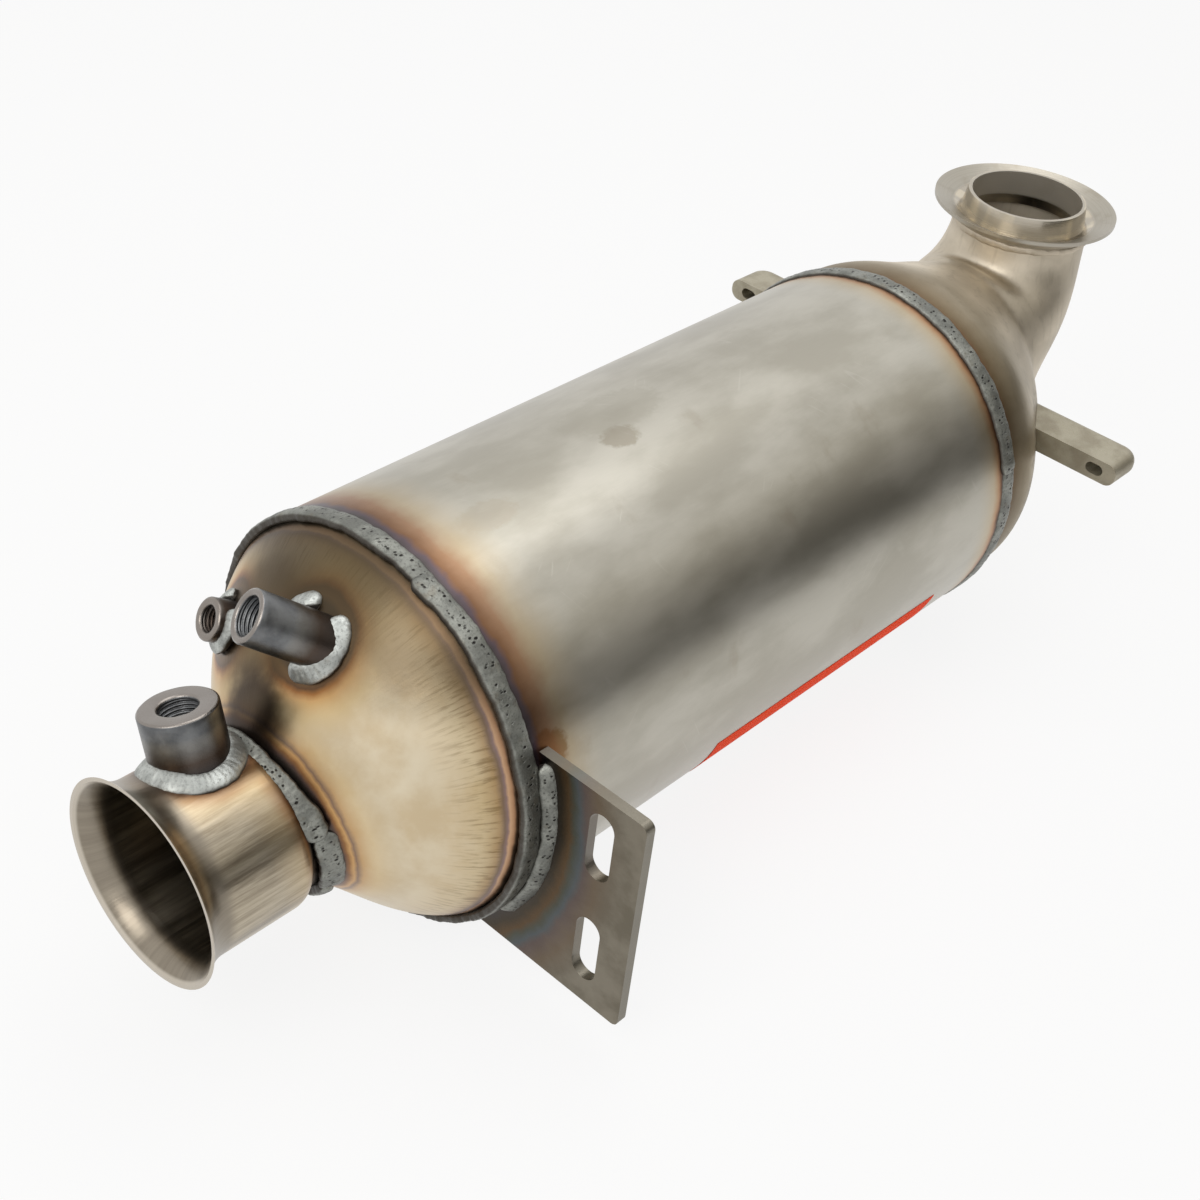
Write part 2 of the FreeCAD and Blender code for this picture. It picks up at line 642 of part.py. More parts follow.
turn = math.radians(size["temperature_boss_turn"])
temperature_axis = V(0, math.sin(turn), math.cos(turn))
temperature_boss, temperature_way = seat_boss(
    "temperature_boss",
    "temperature_boss_od",
    "boss_thread",
    "sizes.temperature_boss_height - 0.8 * sizes.neck_od / 2",
    (
        "-sizes.temperature_boss_x",
        "sizes.temperature_boss_height * sin(sizes.temperature_boss_turn)",
        "sizes.temperature_boss_height * cos(sizes.temperature_boss_turn) - sizes.neck_drop",
    ),
    temperature_axis * -1,
    neck_core,
)

pressure_inward = inward(size["pressure_boss_pitch"], size["pressure_boss_yaw"])
pressure_boss, pressure_way = seat_boss(
    "pressure_boss",
    "pressure_boss_od",
    "boss_thread",
    "sizes.pressure_boss_length",
    ("-sizes.pressure_boss_x", "sizes.pressure_boss_y", "sizes.pressure_boss_z"),
    pressure_inward,
    front_core,
)

side_inward = inward(size["side_boss_pitch"], size["side_boss_yaw"])
side_boss, side_way = seat_boss(
    "side_boss",
    "side_boss_od",
    "side_boss_thread",
    "sizes.side_boss_length",
    ("-sizes.side_boss_x", "sizes.side_boss_y", "sizes.side_boss_z"),
    side_inward,
    front_core,
)

inlet_neck = cut("inlet_neck", inlet_neck_tube, temperature_way)
front_cone = cut("front_cone", front_core, front_inside, spigot_way, pressure_way, side_way)


# Bracket: flat plate with two slots, its inner edge cut to the can

bracket_body = doc.addObject("PartDesign::Body", "bracket_body")
bracket_outline = draw(
    body_sketch(bracket_body, "bracket_outline", "YZ_Plane"),
    [
        ("-sizes.bracket_reach", "-sizes.bracket_bottom"),
        ("-sizes.can_od / 4", "-sizes.bracket_bottom"),
        ("-sizes.can_od / 4", "sizes.bracket_top"),
        ("-sizes.bracket_reach", "sizes.bracket_top"),
    ],
)
plate = pad(bracket_body, bracket_outline, "sizes.bracket_plate")
doc.recompute()
outer_corners = straight_edges(plate.Shape, V(1, 0, 0), lambda point: point.y < -size["can_od"] / 2)
round_edges(bracket_body, plate, outer_corners, "Fillet", size["bracket_corner"], "sizes.bracket_corner")
for number, height in enumerate(("sizes.slot_top", "sizes.slot_top - sizes.slot_pitch"), start=1):
    slot = draw_slot(
        body_sketch(bracket_body, f"bracket_slot{number}", "YZ_Plane"),
        "-sizes.slot_reach",
        height,
        "sizes.slot_length",
        "sizes.slot_width",
        upright=True,
    )
    pocket_through(bracket_body, slot)
put(bracket_body, x="sizes.bracket_x")
front_bracket = cut("front_bracket", bracket_body, can_core)


# Rear lugs: cast arms on the elbow's flanks, mirrored, an oblong eye near each tip

lug_body = doc.addObject("PartDesign::Body", "lug_body")
lug_outline = draw(
    body_sketch(lug_body, "lug_outline", "XY_Plane"),
    [
        ("0", "-sizes.lug_root"),
        ("0", "-sizes.lug_reach"),
        ("sizes.lug_depth", "-sizes.lug_reach"),
        ("sizes.lug_depth", "-sizes.lug_root"),
    ],
)
arm = pad(lug_body, lug_outline, "sizes.lug_height")
doc.recompute()
rear_corner = straight_edges(
    arm.Shape,
    V(0, 0, 1),
    lambda point: point.x > size["lug_depth"] / 2 and point.y < -size["lug_eye_reach"],
)
rounded = round_edges(lug_body, arm, rear_corner, "Fillet", size["lug_tip_round"], "sizes.lug_tip_round")
doc.recompute()
tip_edges = straight_edges(rounded.Shape, V(1, 0, 0), lambda point: point.y < -size["lug_eye_reach"])
softened = lug_body.newObject("PartDesign::Fillet", "lug_tip")
softened.Base = (rounded, tip_edges)
softened.Radius = size["lug_edge_round"]
bind(softened, {"Radius": "sizes.lug_edge_round"})
eye = draw_slot(
    body_sketch(lug_body, "lug_eye", "YZ_Plane"),
    "-sizes.lug_eye_reach",
    "sizes.lug_height / 2",
    "sizes.lug_eye_width",
    "sizes.lug_eye_height",
    upright=False,
)
pocket_through(lug_body, eye)
put(lug_body, x="sizes.can_length + sizes.lug_x", z="sizes.lug_low")
rear_lug_right = cut("rear_lug_right", lug_body, elbow_core)


def mirrored(name, source):
    """The same piece on the other side of the middle plane."""
    twin = doc.addObject("Part::Mirroring", name)
    twin.Source = source
    twin.Normal = V(0, 1, 0)
    return twin


rear_lug_left = mirrored("rear_lug_left", rear_lug_right)


# Weld beads of the two rings: passes that meet end to end, with one bare stretch at the rear

FRONT_RING_X = "-sizes.cone_setback / 2"
REAR_RING_X = "sizes.can_length + sizes.cone_setback / 2"


def ring_pass(name, start, end, x, core, caps):
    """One pass of a ring weld, trimmed to the can and to the cone it joins."""
    bead = bead_ring(name, SKIRT_R, "sizes.ring_bead_r", start, end, x, caps=caps)
    return cut(name, bead, core, can_core)


front_ring_weld_upper = ring_pass("front_ring_weld_upper", 5, 107, FRONT_RING_X, front_core, "none")
front_ring_weld_near = ring_pass("front_ring_weld_near", 107, 222, FRONT_RING_X, front_core, "none")
front_ring_weld_under = ring_pass("front_ring_weld_under", 222, 365, FRONT_RING_X, front_core, "none")
rear_ring_weld_upper = ring_pass("rear_ring_weld_upper", -40, 162, REAR_RING_X, elbow_core, "end")
rear_ring_weld_under = ring_pass("rear_ring_weld_under", 182, 320, REAR_RING_X, elbow_core, "none")


# Weld beads of the neck: a long pass, and a shorter one laid nearer the can

neck_long_bead = bead_ring(
    "neck_long",
    f"{MOUTH_R} + 0.1 * sizes.neck_bead_r",
    "sizes.neck_bead_r",
    -152,
    155,
    "-sizes.mouth_x - sizes.neck_bead_r / 2",
    "-sizes.neck_drop",
    size["mouth_lean"],
)
neck_weld_long = cut("neck_weld_long", neck_long_bead, front_core, neck_core)
neck_short_bead = bead_ring(
    "neck_short",
    f"{MOUTH_R} + sizes.neck_bead_r / 2",
    "sizes.neck_bead_r",
    155,
    209,
    "-sizes.mouth_x + sizes.neck_bead_r / 2",
    "-sizes.neck_drop",
    size["mouth_lean"],
)
neck_weld_short = cut("neck_weld_short", neck_short_bead, front_core, neck_core, *neck_long_bead.Shapes)
doc.recompute()


# Weld beads round the feet of the bosses

temperature_bead = doc.addObject("Part::Torus", "temperature_bead")
bind(
    temperature_bead,
    {
        "Radius1": "sizes.temperature_boss_od / 2 + sizes.boss_bead_r / 6",
        "Radius2": "sizes.boss_bead_r",
    },
)
put(
    temperature_bead,
    "-sizes.temperature_boss_x",
    "0.95 * sizes.neck_od / 2 * sin(sizes.temperature_boss_turn)",
    "0.95 * sizes.neck_od / 2 * cos(sizes.temperature_boss_turn) - sizes.neck_drop",
    turn=facing(temperature_axis),
)
temperature_fill = cylinder(
    "temperature_fill",
    "sizes.temperature_boss_od / 2",
    "sizes.temperature_boss_height",
    z="-sizes.neck_drop",
    x="-sizes.temperature_boss_x",
    turn=facing(temperature_axis),
)
temperature_boss_weld = cut(
    "temperature_boss_weld", temperature_bead, neck_core, temperature_fill, *neck_long_bead.Shapes
)


def cone_normal(point):
    """Outward normal of the front cone's slope near a point, from its straight fall."""
    fall = (size["can_od"] - size["spigot_od"]) / 2 / (size["mouth_x"] - size["cone_setback"])
    radial = V(0, point.y, point.z - can_core.Placement.Base.z).normalize()
    return (radial - V(fall, 0, 0)).normalize()


pressure_fill = cylinder(
    "pressure_fill",
    "sizes.pressure_boss_od / 2",
    "sizes.pressure_boss_length",
    "-sizes.pressure_boss_x",
    "sizes.pressure_boss_y",
    "sizes.pressure_boss_z",
    turn=facing(pressure_inward),
)
side_fill = cylinder(
    "side_fill",
    "sizes.side_boss_od / 2",
    "sizes.side_boss_length",
    "-sizes.side_boss_x",
    "sizes.side_boss_y",
    "sizes.side_boss_z",
    turn=facing(side_inward),
)
doc.recompute()
pressure_foot = foot_of(front_core, pressure_fill.Placement.Base, pressure_inward)
side_foot = foot_of(front_core, side_fill.Placement.Base, side_inward)

pressure_welds = []
for place, start, end in (("lower", 180, 335), ("upper", 15, 80)):
    bead = bead_at(
        f"pressure_bead_{place}",
        pressure_foot,
        cone_normal(pressure_foot),
        size["pressure_boss_od"] / 2 + size["boss_bead_r"] / 3,
        size["boss_bead_r"],
        start,
        end,
    )
    pressure_welds.append(cut(f"pressure_boss_weld_{place}", bead, front_core, pressure_fill))

side_bead = bead_at(
    "side_bead",
    side_foot,
    cone_normal(side_foot),
    size["side_boss_od"] / 2 + size["side_bead_r"] / 3,
    size["side_bead_r"],
    0,
    300,
)
side_boss_weld = cut("side_boss_weld", side_bead, front_core, side_fill)


# Weld beads of the bracket, the lugs, the flange and the can's long seam

bracket_bead = bead_ring(
    "bracket",
    f"{CAN_R} + 0.7 * sizes.bracket_bead_r",
    "sizes.bracket_bead_r",
    162,
    215,
    "sizes.bracket_x",
)
bracket_weld = cut("bracket_weld", bracket_bead, can_core, bracket_body)

flange_bead = doc.addObject("Part::Torus", "flange_bead")
bind(flange_bead, {"Radius1": OUTLET_R, "Radius2": "sizes.flange_bead_r"})
put(flange_bead, x="sizes.can_length + sizes.outlet_x", z="sizes.outlet_rise - sizes.flange_bead_r / 3")
flange_weld = cut("flange_weld", flange_bead, elbow_core, outlet_flange)


def skin_at(core, x, z):
    """Point on the right flank of a core at one station and height."""
    ray = Part.makeLine(V(x, -size["lug_reach"], z), V(x, 0, z))
    inside = ray.common(core.Shape)
    return min((corner.Point for corner in inside.Vertexes), key=lambda point: point.y)


lug_place = lug_body.Placement.Base
lug_margin = 2 * size["lug_bead_r"]
low_front = skin_at(elbow_core, lug_place.x + lug_margin, lug_place.z)
low_rear = skin_at(elbow_core, lug_place.x + size["lug_depth"] - lug_margin, lug_place.z)
run = low_rear - low_front
lug_run = doc.addObject("Part::Cylinder", "lug_run")
bind(lug_run, {"Radius": "sizes.lug_bead_r"})
lug_run.Height = run.Length
lug_run.Placement = FreeCAD.Placement(low_front, facing(run))
lug_caps = []
for number, point in enumerate((low_front, low_rear), start=1):
    cap = doc.addObject("Part::Sphere", f"lug_cap{number}")
    bind(cap, {"Radius": "sizes.lug_bead_r"})
    cap.Placement = FreeCAD.Placement(point, FreeCAD.Rotation())
    lug_caps.append(cap)
lug_bead = fuse("lug_bead", lug_run, *lug_caps)
rear_lug_weld_right = cut("rear_lug_weld_right", lug_bead, elbow_core, lug_body)
rear_lug_weld_left = mirrored("rear_lug_weld_left", rear_lug_weld_right)

seam_bead = cylinder(
    "seam_bead",
    "sizes.seam_bead_r",
    "sizes.can_length - 2 * sizes.seam_margin",
    x="sizes.seam_margin",
    y=f"({CAN_R} + sizes.seam_height - sizes.seam_bead_r) * cos(sizes.seam_turn)",
    z=f"({CAN_R} + sizes.seam_height - sizes.seam_bead_r) * sin(sizes.seam_turn)",
    turn=TO_X,
)
can_seam_weld = cut("can_seam_weld", seam_bead, can_core)


# Label: bare strip bent round the lower flank of the can

label_wedge = cylinder(
    "label_wedge",
    f"{CAN_R} + sizes.label_skin",
    "sizes.label_length",
    x="sizes.label_start",
    turn=FreeCAD.Rotation(V(1, 1, 1), 120) * FreeCAD.Rotation(V(0, 0, 1), size["label_turn"]),
)
bind(label_wedge, {"Angle": "sizes.label_sweep"})
label_strip = cut("label_strip", label_wedge, can_core)


# Inside: a short catalyst brick and a long filter brick, each wrapped in its support mat


def wrapped_brick(brick, mat, start, length):
    """Ceramic brick and its mat, the mat shorter by a bare margin at each end."""
    core = cylinder(brick, "sizes.brick_od / 2", f"sizes.{length}", x=f"sizes.{start}", turn=TO_X)
    wrap_length = f"sizes.{length} - 2 * sizes.mat_margin"
    wrap_start = f"sizes.{start} + sizes.mat_margin"
    outer = cylinder(f"{mat}_outer", f"{BORE_R} - sizes.mat_gap", wrap_length, x=wrap_start, turn=TO_X)
    inner = cylinder(f"{mat}_inner", "sizes.brick_od / 2", wrap_length, x=wrap_start, turn=TO_X)
    return core, cut(mat, outer, inner)


oxidation_brick, oxidation_mat = wrapped_brick("oxidation_brick", "oxidation_mat", "catalyst_start", "catalyst_length")
filter_brick, filter_mat = wrapped_brick("filter_brick", "filter_mat", "filter_start", "filter_length")


# Check and write each piece under its own name

PIECES = [
    can_shell,
    front_cone,
    inlet_neck,
    rear_elbow,
    outlet_flange,
    temperature_boss,
    pressure_boss,
    side_boss,
    front_bracket,
    rear_lug_right,
    rear_lug_left,
    front_ring_weld_upper,
    front_ring_weld_near,
    front_ring_weld_under,
    rear_ring_weld_upper,
    rear_ring_weld_under,
    neck_weld_long,
    neck_weld_short,
    temperature_boss_weld,
    *pressure_welds,
    side_boss_weld,
    bracket_weld,
    flange_weld,
    rear_lug_weld_right,
    rear_lug_weld_left,
    can_seam_weld,
    label_strip,
    oxidation_brick,
    oxidation_mat,
    filter_brick,
    filter_mat,
]

doc.recompute()
for item in doc.Objects:
    if "Invalid" in item.State or "Error" in item.State:
        raise RuntimeError(f"{item.Name} could not be built")
for piece in PIECES:
    piece.Label = piece.Name
    shape = piece.Shape
    if shape.isNull() or not shape.isValid() or not shape.Solids:
        raise RuntimeError(f"{piece.Name} has no sound shape")
    shape.exportStep(f"parts/{piece.Name}.step")
    print(f"{piece.Name}: {len(shape.Solids)} solid, {round(shape.Volume)} cubic millimetres")
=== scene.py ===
# %% [markdown]
# # A diesel particulate filter, dressed for the studio
# The filter is a stainless can with a pressed cone at each end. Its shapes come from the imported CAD
# frame. This script gives every sheet its own steel, lays the weld beads with their ripples and pits,
# cuts the threads into the sensor bosses, and sets a plain studio round it.

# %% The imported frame
import math

import bpy
import numpy as np
from mathutils import Matrix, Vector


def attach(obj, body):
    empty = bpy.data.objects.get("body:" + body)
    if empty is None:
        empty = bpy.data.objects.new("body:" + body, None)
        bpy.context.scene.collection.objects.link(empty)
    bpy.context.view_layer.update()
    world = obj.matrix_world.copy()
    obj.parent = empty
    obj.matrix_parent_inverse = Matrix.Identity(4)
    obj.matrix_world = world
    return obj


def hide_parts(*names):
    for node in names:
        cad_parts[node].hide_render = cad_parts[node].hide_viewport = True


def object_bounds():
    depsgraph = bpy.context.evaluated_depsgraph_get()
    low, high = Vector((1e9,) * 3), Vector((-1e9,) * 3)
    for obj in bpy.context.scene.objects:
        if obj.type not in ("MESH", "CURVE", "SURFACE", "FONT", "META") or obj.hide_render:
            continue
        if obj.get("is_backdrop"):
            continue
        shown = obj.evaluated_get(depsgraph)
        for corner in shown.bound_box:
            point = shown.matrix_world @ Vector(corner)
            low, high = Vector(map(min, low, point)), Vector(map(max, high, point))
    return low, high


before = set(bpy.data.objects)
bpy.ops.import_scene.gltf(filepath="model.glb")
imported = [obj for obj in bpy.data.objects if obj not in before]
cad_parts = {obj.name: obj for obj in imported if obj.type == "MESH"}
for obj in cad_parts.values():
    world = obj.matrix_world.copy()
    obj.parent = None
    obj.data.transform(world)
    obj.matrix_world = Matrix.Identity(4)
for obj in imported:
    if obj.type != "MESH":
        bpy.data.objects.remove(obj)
cad_low, cad_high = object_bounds()
print("CAD box in metres", [round(v, 4) for v in (*cad_low, *cad_high)])

# %% [markdown]
# ## Measures that the finishes share
# Heat tint follows the welds, so the paint needs to know where each seam runs. All lengths are in
# millimetres in the row frame: X along the can, Z up, and the inlet neck's axis on the X axis.

# %% Where the seams run
CAN_AXIS_Z = 14.1
CAN_R = 76.5
FRONT_RING_X = 85.4
REAR_RING_X = 366.4
RING_R = 75.6
OUTLET_X = 467.2
NECK_LEAN = math.radians(11)
NECK_SEAM = ((39.8, 0, 0), (-math.cos(NECK_LEAN), 0, -math.sin(NECK_LEAN)), 30.9)
TEMPERATURE_MOUTH = (17.0, 15.03, 49.15)
TEMPERATURE_AXIS = (0, 0.2924, 0.9563)
TEMPERATURE_FOOT = (17, 9.0, 30.5)
TEMPERATURE_R = 13.3
PRESSURE_MOUTH = (37.4, 6, 80.1)
PRESSURE_AXIS = (-0.7531, 0.3755, 0.5402)
PRESSURE_FOOT = (57.4, -0.5, 65.1)
PRESSURE_R = 9.2
SIDE_MOUTH = (50.4, 44, 49.1)
SIDE_AXIS = (-0.8514, 0.249, 0.4617)
SIDE_FOOT = (57.4, 42.5, 45.5)
SIDE_R = 7.6
print("can", CAN_R * 2, "mm across; rings", REAR_RING_X - FRONT_RING_X, "mm apart")

# %% [markdown]
# ## Wiring a material
# A material is a small circuit. These helpers add one node at a time, so each finish below reads as
# a list of what the metal shows. A distance from a seam is measured in the object's own coordinates,
# which stay with the part when the camera moves.

# %% Helpers for the circuits
def new_finish(name):
    """A material with a Principled shader; returns the material, its tree and the shader."""
    finish = bpy.data.materials.new(name)
    finish.use_nodes = True
    return finish, finish.node_tree, finish.node_tree.nodes["Principled BSDF"]


def add(tree, kind, feeds=(), out=0, **settings):
    """One node of a kind; each feed is a socket to link or a number to set, by order or by name."""
    node = tree.nodes.new("ShaderNode" + kind)
    for key, value in settings.items():
        setattr(node, key, value)
    pairs = feeds.items() if isinstance(feeds, dict) else enumerate(feeds)
    for key, value in pairs:
        if value is None:
            continue
        if isinstance(value, bpy.types.NodeSocket):
            tree.links.new(value, node.inputs[key])
        else:
            node.inputs[key].default_value = value
    return node.outputs[out]


def sums(tree, operation, *feeds, clamp=False):
    """One arithmetic step."""
    return add(tree, "Math", feeds, operation=operation, use_clamp=clamp)


def times(tree, one, other):
    """One value times another."""
    return sums(tree, "MULTIPLY", one, other)


def slope(tree, value, rise, start):
    """A straight line: the value times the rise, plus the start."""
    return sums(tree, "MULTIPLY_ADD", value, rise, start)


def root_of_squares(tree, one, other):
    """Root of (one squared plus the other squared)."""
    return sums(tree, "SQRT", sums(tree, "ADD", times(tree, one, one), times(tree, other, other)))


def dot(tree, one, other):
    """Dot product of two vectors."""
    return add(tree, "VectorMath", [one, other], out="Value", operation="DOT_PRODUCT")


def length_of(tree, vector):
    """Length of a vector."""
    return add(tree, "VectorMath", [vector], out="Value", operation="LENGTH")


def x_y_z(tree, vector):
    """The three numbers of a vector."""
    node = add(tree, "SeparateXYZ", [vector]).node
    return node.outputs["X"], node.outputs["Y"], node.outputs["Z"]


def millimetres(tree):
    """The point on the part in millimetres, as a vector."""
    spot = add(tree, "TexCoord", out="Object")
    return add(tree, "VectorMath", [spot, (1000, 1000, 1000)], operation="MULTIPLY")


def grain(tree, spot, stretch, detail=3.0, rough=0.55, seed=0.0):
    """Noise of the point times a stretch, which makes it long along one axis; 0 to 1."""
    long_spot = add(tree, "VectorMath", [spot, stretch, (seed, seed, seed)], operation="MULTIPLY_ADD")
    feeds = {"Vector": long_spot, "Scale": 1.0, "Detail": detail, "Roughness": rough}
    return add(tree, "TexNoise", feeds, out="Fac")


print("circuit helpers are ready")

# %% [markdown]
# ## Laying colours over each other
# Paint in a circuit is one colour over another by a factor between 0 and 1. A ramp gives many colours
# from one number, and an eased step turns noise into patches. The last two put colour, gloss and relief
# on the shader, which is the same for every finish.

# %% Helpers for colour and relief
def ramp(tree, fac, stops):
    """Colour and cover read from stops of (place, colour, cover); places run from 0 to 1."""
    node = tree.nodes.new("ShaderNodeValToRGB")
    bar = node.color_ramp
    for number, (place, colour, cover) in enumerate(stops):
        stop = bar.elements[number] if number < 2 else bar.elements.new(place)
        stop.position = place
        stop.color = (*colour, cover)
    tree.links.new(fac, node.inputs["Fac"])
    return node.outputs["Color"], node.outputs["Alpha"]


def between(tree, fac, low, high):
    """A value eased from 0 at low to 1 at high."""
    feeds = {"Value": fac, "From Min": low, "From Max": high}
    return add(tree, "MapRange", feeds, interpolation_type="SMOOTHSTEP")


def fading(tree, fac, low, high):
    """A value eased from 1 at low to 0 at high."""
    return sums(tree, "SUBTRACT", 1.0, between(tree, fac, low, high))


def blend_in(tree, fac, under, over):
    """One colour laid over another by a factor."""
    node = tree.nodes.new("ShaderNodeMix")
    node.data_type = "RGBA"
    for socket, value in ((node.inputs[0], fac), (node.inputs[6], under), (node.inputs[7], over)):
        if isinstance(value, bpy.types.NodeSocket):
            tree.links.new(value, socket)
        elif isinstance(value, tuple):
            socket.default_value = (*value, 1)
        else:
            socket.default_value = value
    return node.outputs[2]


def put_on(tree, shader, colour, roughness, metal=1.0):
    """Colour, roughness and metal share put on a shader; each is a socket or a number."""
    for name, value in (("Base Color", colour), ("Roughness", roughness), ("Metallic", metal)):
        if isinstance(value, bpy.types.NodeSocket):
            tree.links.new(value, shader.inputs[name])
        else:
            shader.inputs[name].default_value = value


def bump(tree, shader, height, strength, depth):
    """Fine relief, its depth in millimetres."""
    feeds = {"Strength": strength, "Distance": depth / 1000, "Height": height}
    tree.links.new(add(tree, "Bump", feeds), shader.inputs["Normal"])


print("colour helpers are ready")

# %% [markdown]
# ## Distance from a seam
# The tint colours of hot stainless depend only on how hot the sheet got, so on how far it lies from
# the bead. For a ring seam the distance comes from two numbers: how far the point is along the
# ring's axis, and how far its radius differs from the ring's. A little noise makes the bands uneven.

# %% Seam distances
def from_point(tree, spot, point):
    """Distance of the spot from one point."""
    return add(tree, "VectorMath", [spot, point], out="Value", operation="DISTANCE")


def from_ring(tree, spot, centre, axis, radius):
    """Distance from a circle: root of (height along the axis squared plus radius error squared)."""
    arm = add(tree, "VectorMath", [spot, centre], operation="SUBTRACT")
    height, length = dot(tree, arm, axis), length_of(tree, arm)
    gap = sums(tree, "SUBTRACT", times(tree, length, length), times(tree, height, height))
    error = sums(tree, "SUBTRACT", sums(tree, "SQRT", sums(tree, "MAXIMUM", gap, 0.0)), radius)
    return root_of_squares(tree, height, error)


def wobbled(tree, spot, distance, amount, size=0.11):
    """The distance with slow noise added, so that a band wanders."""
    noise = grain(tree, spot, (size, size, size), detail=4.0)
    return slope(tree, sums(tree, "SUBTRACT", noise, 0.5), amount, distance)


def wobbled_spot(tree, spot, amount):
    """The point moved a little by slow noise, so that a level line wanders."""
    noise = add(tree, "TexNoise", {"Vector": spot, "Scale": 0.05, "Detail": 4.0}, out="Color")
    moved = add(tree, "VectorMath", [noise, (0.5, 0.5, 0.5)], operation="SUBTRACT")
    return add(tree, "VectorMath", [moved, (amount, amount, amount), spot], operation="MULTIPLY_ADD")


def tint(tree, colour, distance, stops, reach=40.0):
    """Heat tint over a colour: stops are (millimetres from the bead, colour, cover)."""
    share = sums(tree, "DIVIDE", distance, reach, clamp=True)
    burnt, cover = ramp(tree, share, [(mm / reach, shade, alpha) for mm, shade, alpha in stops])
    return blend_in(tree, cover, colour, burnt)


SOOT = (0.045, 0.04, 0.04)
VIOLET = (0.075, 0.05, 0.065)
BROWN = (0.17, 0.075, 0.03)
COPPER = (0.42, 0.22, 0.10)
STRAW = (0.52, 0.38, 0.20)
PALE = (0.50, 0.45, 0.35)
CAN_TINT = [
    (3.6, SOOT, 0.95), (5.8, VIOLET, 0.92), (8.2, BROWN, 0.92), (13, (0.27, 0.13, 0.055), 0.82),
    (20, (0.42, 0.30, 0.15), 0.5), (36, PALE, 0),
]
REAR_TINT = [(3.6, SOOT, 0.95), (5.2, BROWN, 0.95), (6.8, COPPER, 0.85), (10.5, STRAW, 0.45), (22, PALE, 0)]
BOSS_TINT = [
    (2.6, SOOT, 0.95), (4.6, (0.17, 0.095, 0.045), 0.95), (7, (0.10, 0.045, 0.02), 0.95),
    (8.6, (0.32, 0.125, 0.03), 0.92), (11, (0.60, 0.34, 0.12), 0.8), (16, (0.64, 0.46, 0.21), 0.45),
    (27, PALE, 0),
]
print("tint runs through", len(CAN_TINT), "colours")

# %% [markdown]
# ## Marks on rolled sheet
# Marks on the can follow the sheet as it lay flat before it was rolled. So X and the arc length round
# the can serve as the flat sheet's two directions. A picture could hold the marks, but noise on these two
# numbers stays sharp at any distance.

# %% Helpers for marks
def turn_round(tree, spot, axis_z):
    """X, the angle round an axis along X in radians with its seam underneath, and the radius."""
    x, y, z = x_y_z(tree, spot)
    up = sums(tree, "SUBTRACT", z, axis_z)
    return x, sums(tree, "ARCTAN2", y, up), root_of_squares(tree, up, y)


def unrolled(tree, spot, axis_z, radius):
    """The sheet laid flat: X and the arc length, which is the angle times the radius."""
    x, turn, _ = turn_round(tree, spot, axis_z)
    return add(tree, "CombineXYZ", [x, times(tree, turn, radius), 0.0])


def scratches(tree, sheet, slant, seed):
    """Thin lines where a long noise crosses its middle value, slanted by an angle and kept in places."""
    lean = math.radians(slant)
    along = dot(tree, sheet, (math.cos(lean), math.sin(lean), 0))
    off = dot(tree, sheet, (-math.sin(lean), math.cos(lean), 0))
    spot = add(tree, "CombineXYZ", [times(tree, along, 0.012), times(tree, off, 0.13), seed])
    noise = add(tree, "TexNoise", {"Vector": spot, "Scale": 1.0, "Detail": 0.0}, out="Fac")
    line = fading(tree, sums(tree, "ABSOLUTE", sums(tree, "SUBTRACT", noise, 0.5)), 0.004, 0.016)
    kept = between(tree, grain(tree, sheet, (0.028, 0.045, 0.05), seed=seed + 5), 0.60, 0.68)
    return times(tree, line, kept)


def patch(tree, spot, centre, sizes, seed):
    """A soft-edged spot: 1 at its centre, 0 outside an uneven oval of the given half sizes."""
    arm = add(tree, "VectorMath", [spot, centre], operation="SUBTRACT")
    scaled = add(tree, "VectorMath", [arm, tuple(1 / s for s in sizes)], operation="MULTIPLY")
    uneven = wobbled(tree, spot, length_of(tree, scaled), 0.7, size=0.3 + seed * 0.01)
    return fading(tree, uneven, 0.75, 1.05)


def on_can(x, turn):
    """The point on the can at a station and an angle in degrees from +Y over +Z."""
    angle = math.radians(turn)
    return (x, CAN_R * math.cos(angle), CAN_AXIS_Z + CAN_R * math.sin(angle))


print("one turn of the sheet is", round(2 * math.pi * CAN_R), "mm")

# %% [markdown]
# ## The can's steel
# The can is rolled from cold-rolled stainless with a satin surface. It shows a fine grain, long soft
# smudges from handling, thin scratches, and violet, brown and straw bands beside the ring welds. The
# grain runs along the can, so its noise is long in X and short round the can.

# %% The can
can_steel, tree, shader = new_finish("satin_can_steel")
spot = millimetres(tree)
sheet = unrolled(tree, spot, CAN_AXIS_Z, CAN_R)
cloud = grain(tree, sheet, (0.016, 0.035, 0.05), detail=5.0)
fine = grain(tree, sheet, (0.10, 3.2, 1.0), detail=4.0, rough=0.7)
colour = blend_in(tree, between(tree, cloud, 0.38, 0.66), (0.40, 0.375, 0.315), (0.52, 0.495, 0.43))
colour = blend_in(tree, times(tree, fine, 0.22), colour, (0.26, 0.245, 0.21))
smudge = between(tree, grain(tree, sheet, (0.05, 0.028, 0.05), detail=6.0, seed=31.0), 0.6, 0.72)
colour = blend_in(tree, times(tree, smudge, 0.30), colour, (0.30, 0.255, 0.19))
marks = [
    (on_can(192.4, 95.5), (9, 6, 5), 3, (0.27, 0.235, 0.175), 0.6),
    (on_can(202.4, 85), (26, 13, 9), 9, (0.37, 0.345, 0.285), 0.4),
    (on_can(123, 99), (13, 7, 7), 14, (0.36, 0.31, 0.235), 0.35),
    (on_can(96, 159), (9, 8, 9), 6, (0.085, 0.035, 0.015), 0.95),
]
for centre, sizes, seed, shade, cover in marks:
    covered = times(tree, patch(tree, spot, centre, sizes, seed), cover)
    colour = blend_in(tree, covered, colour, shade)
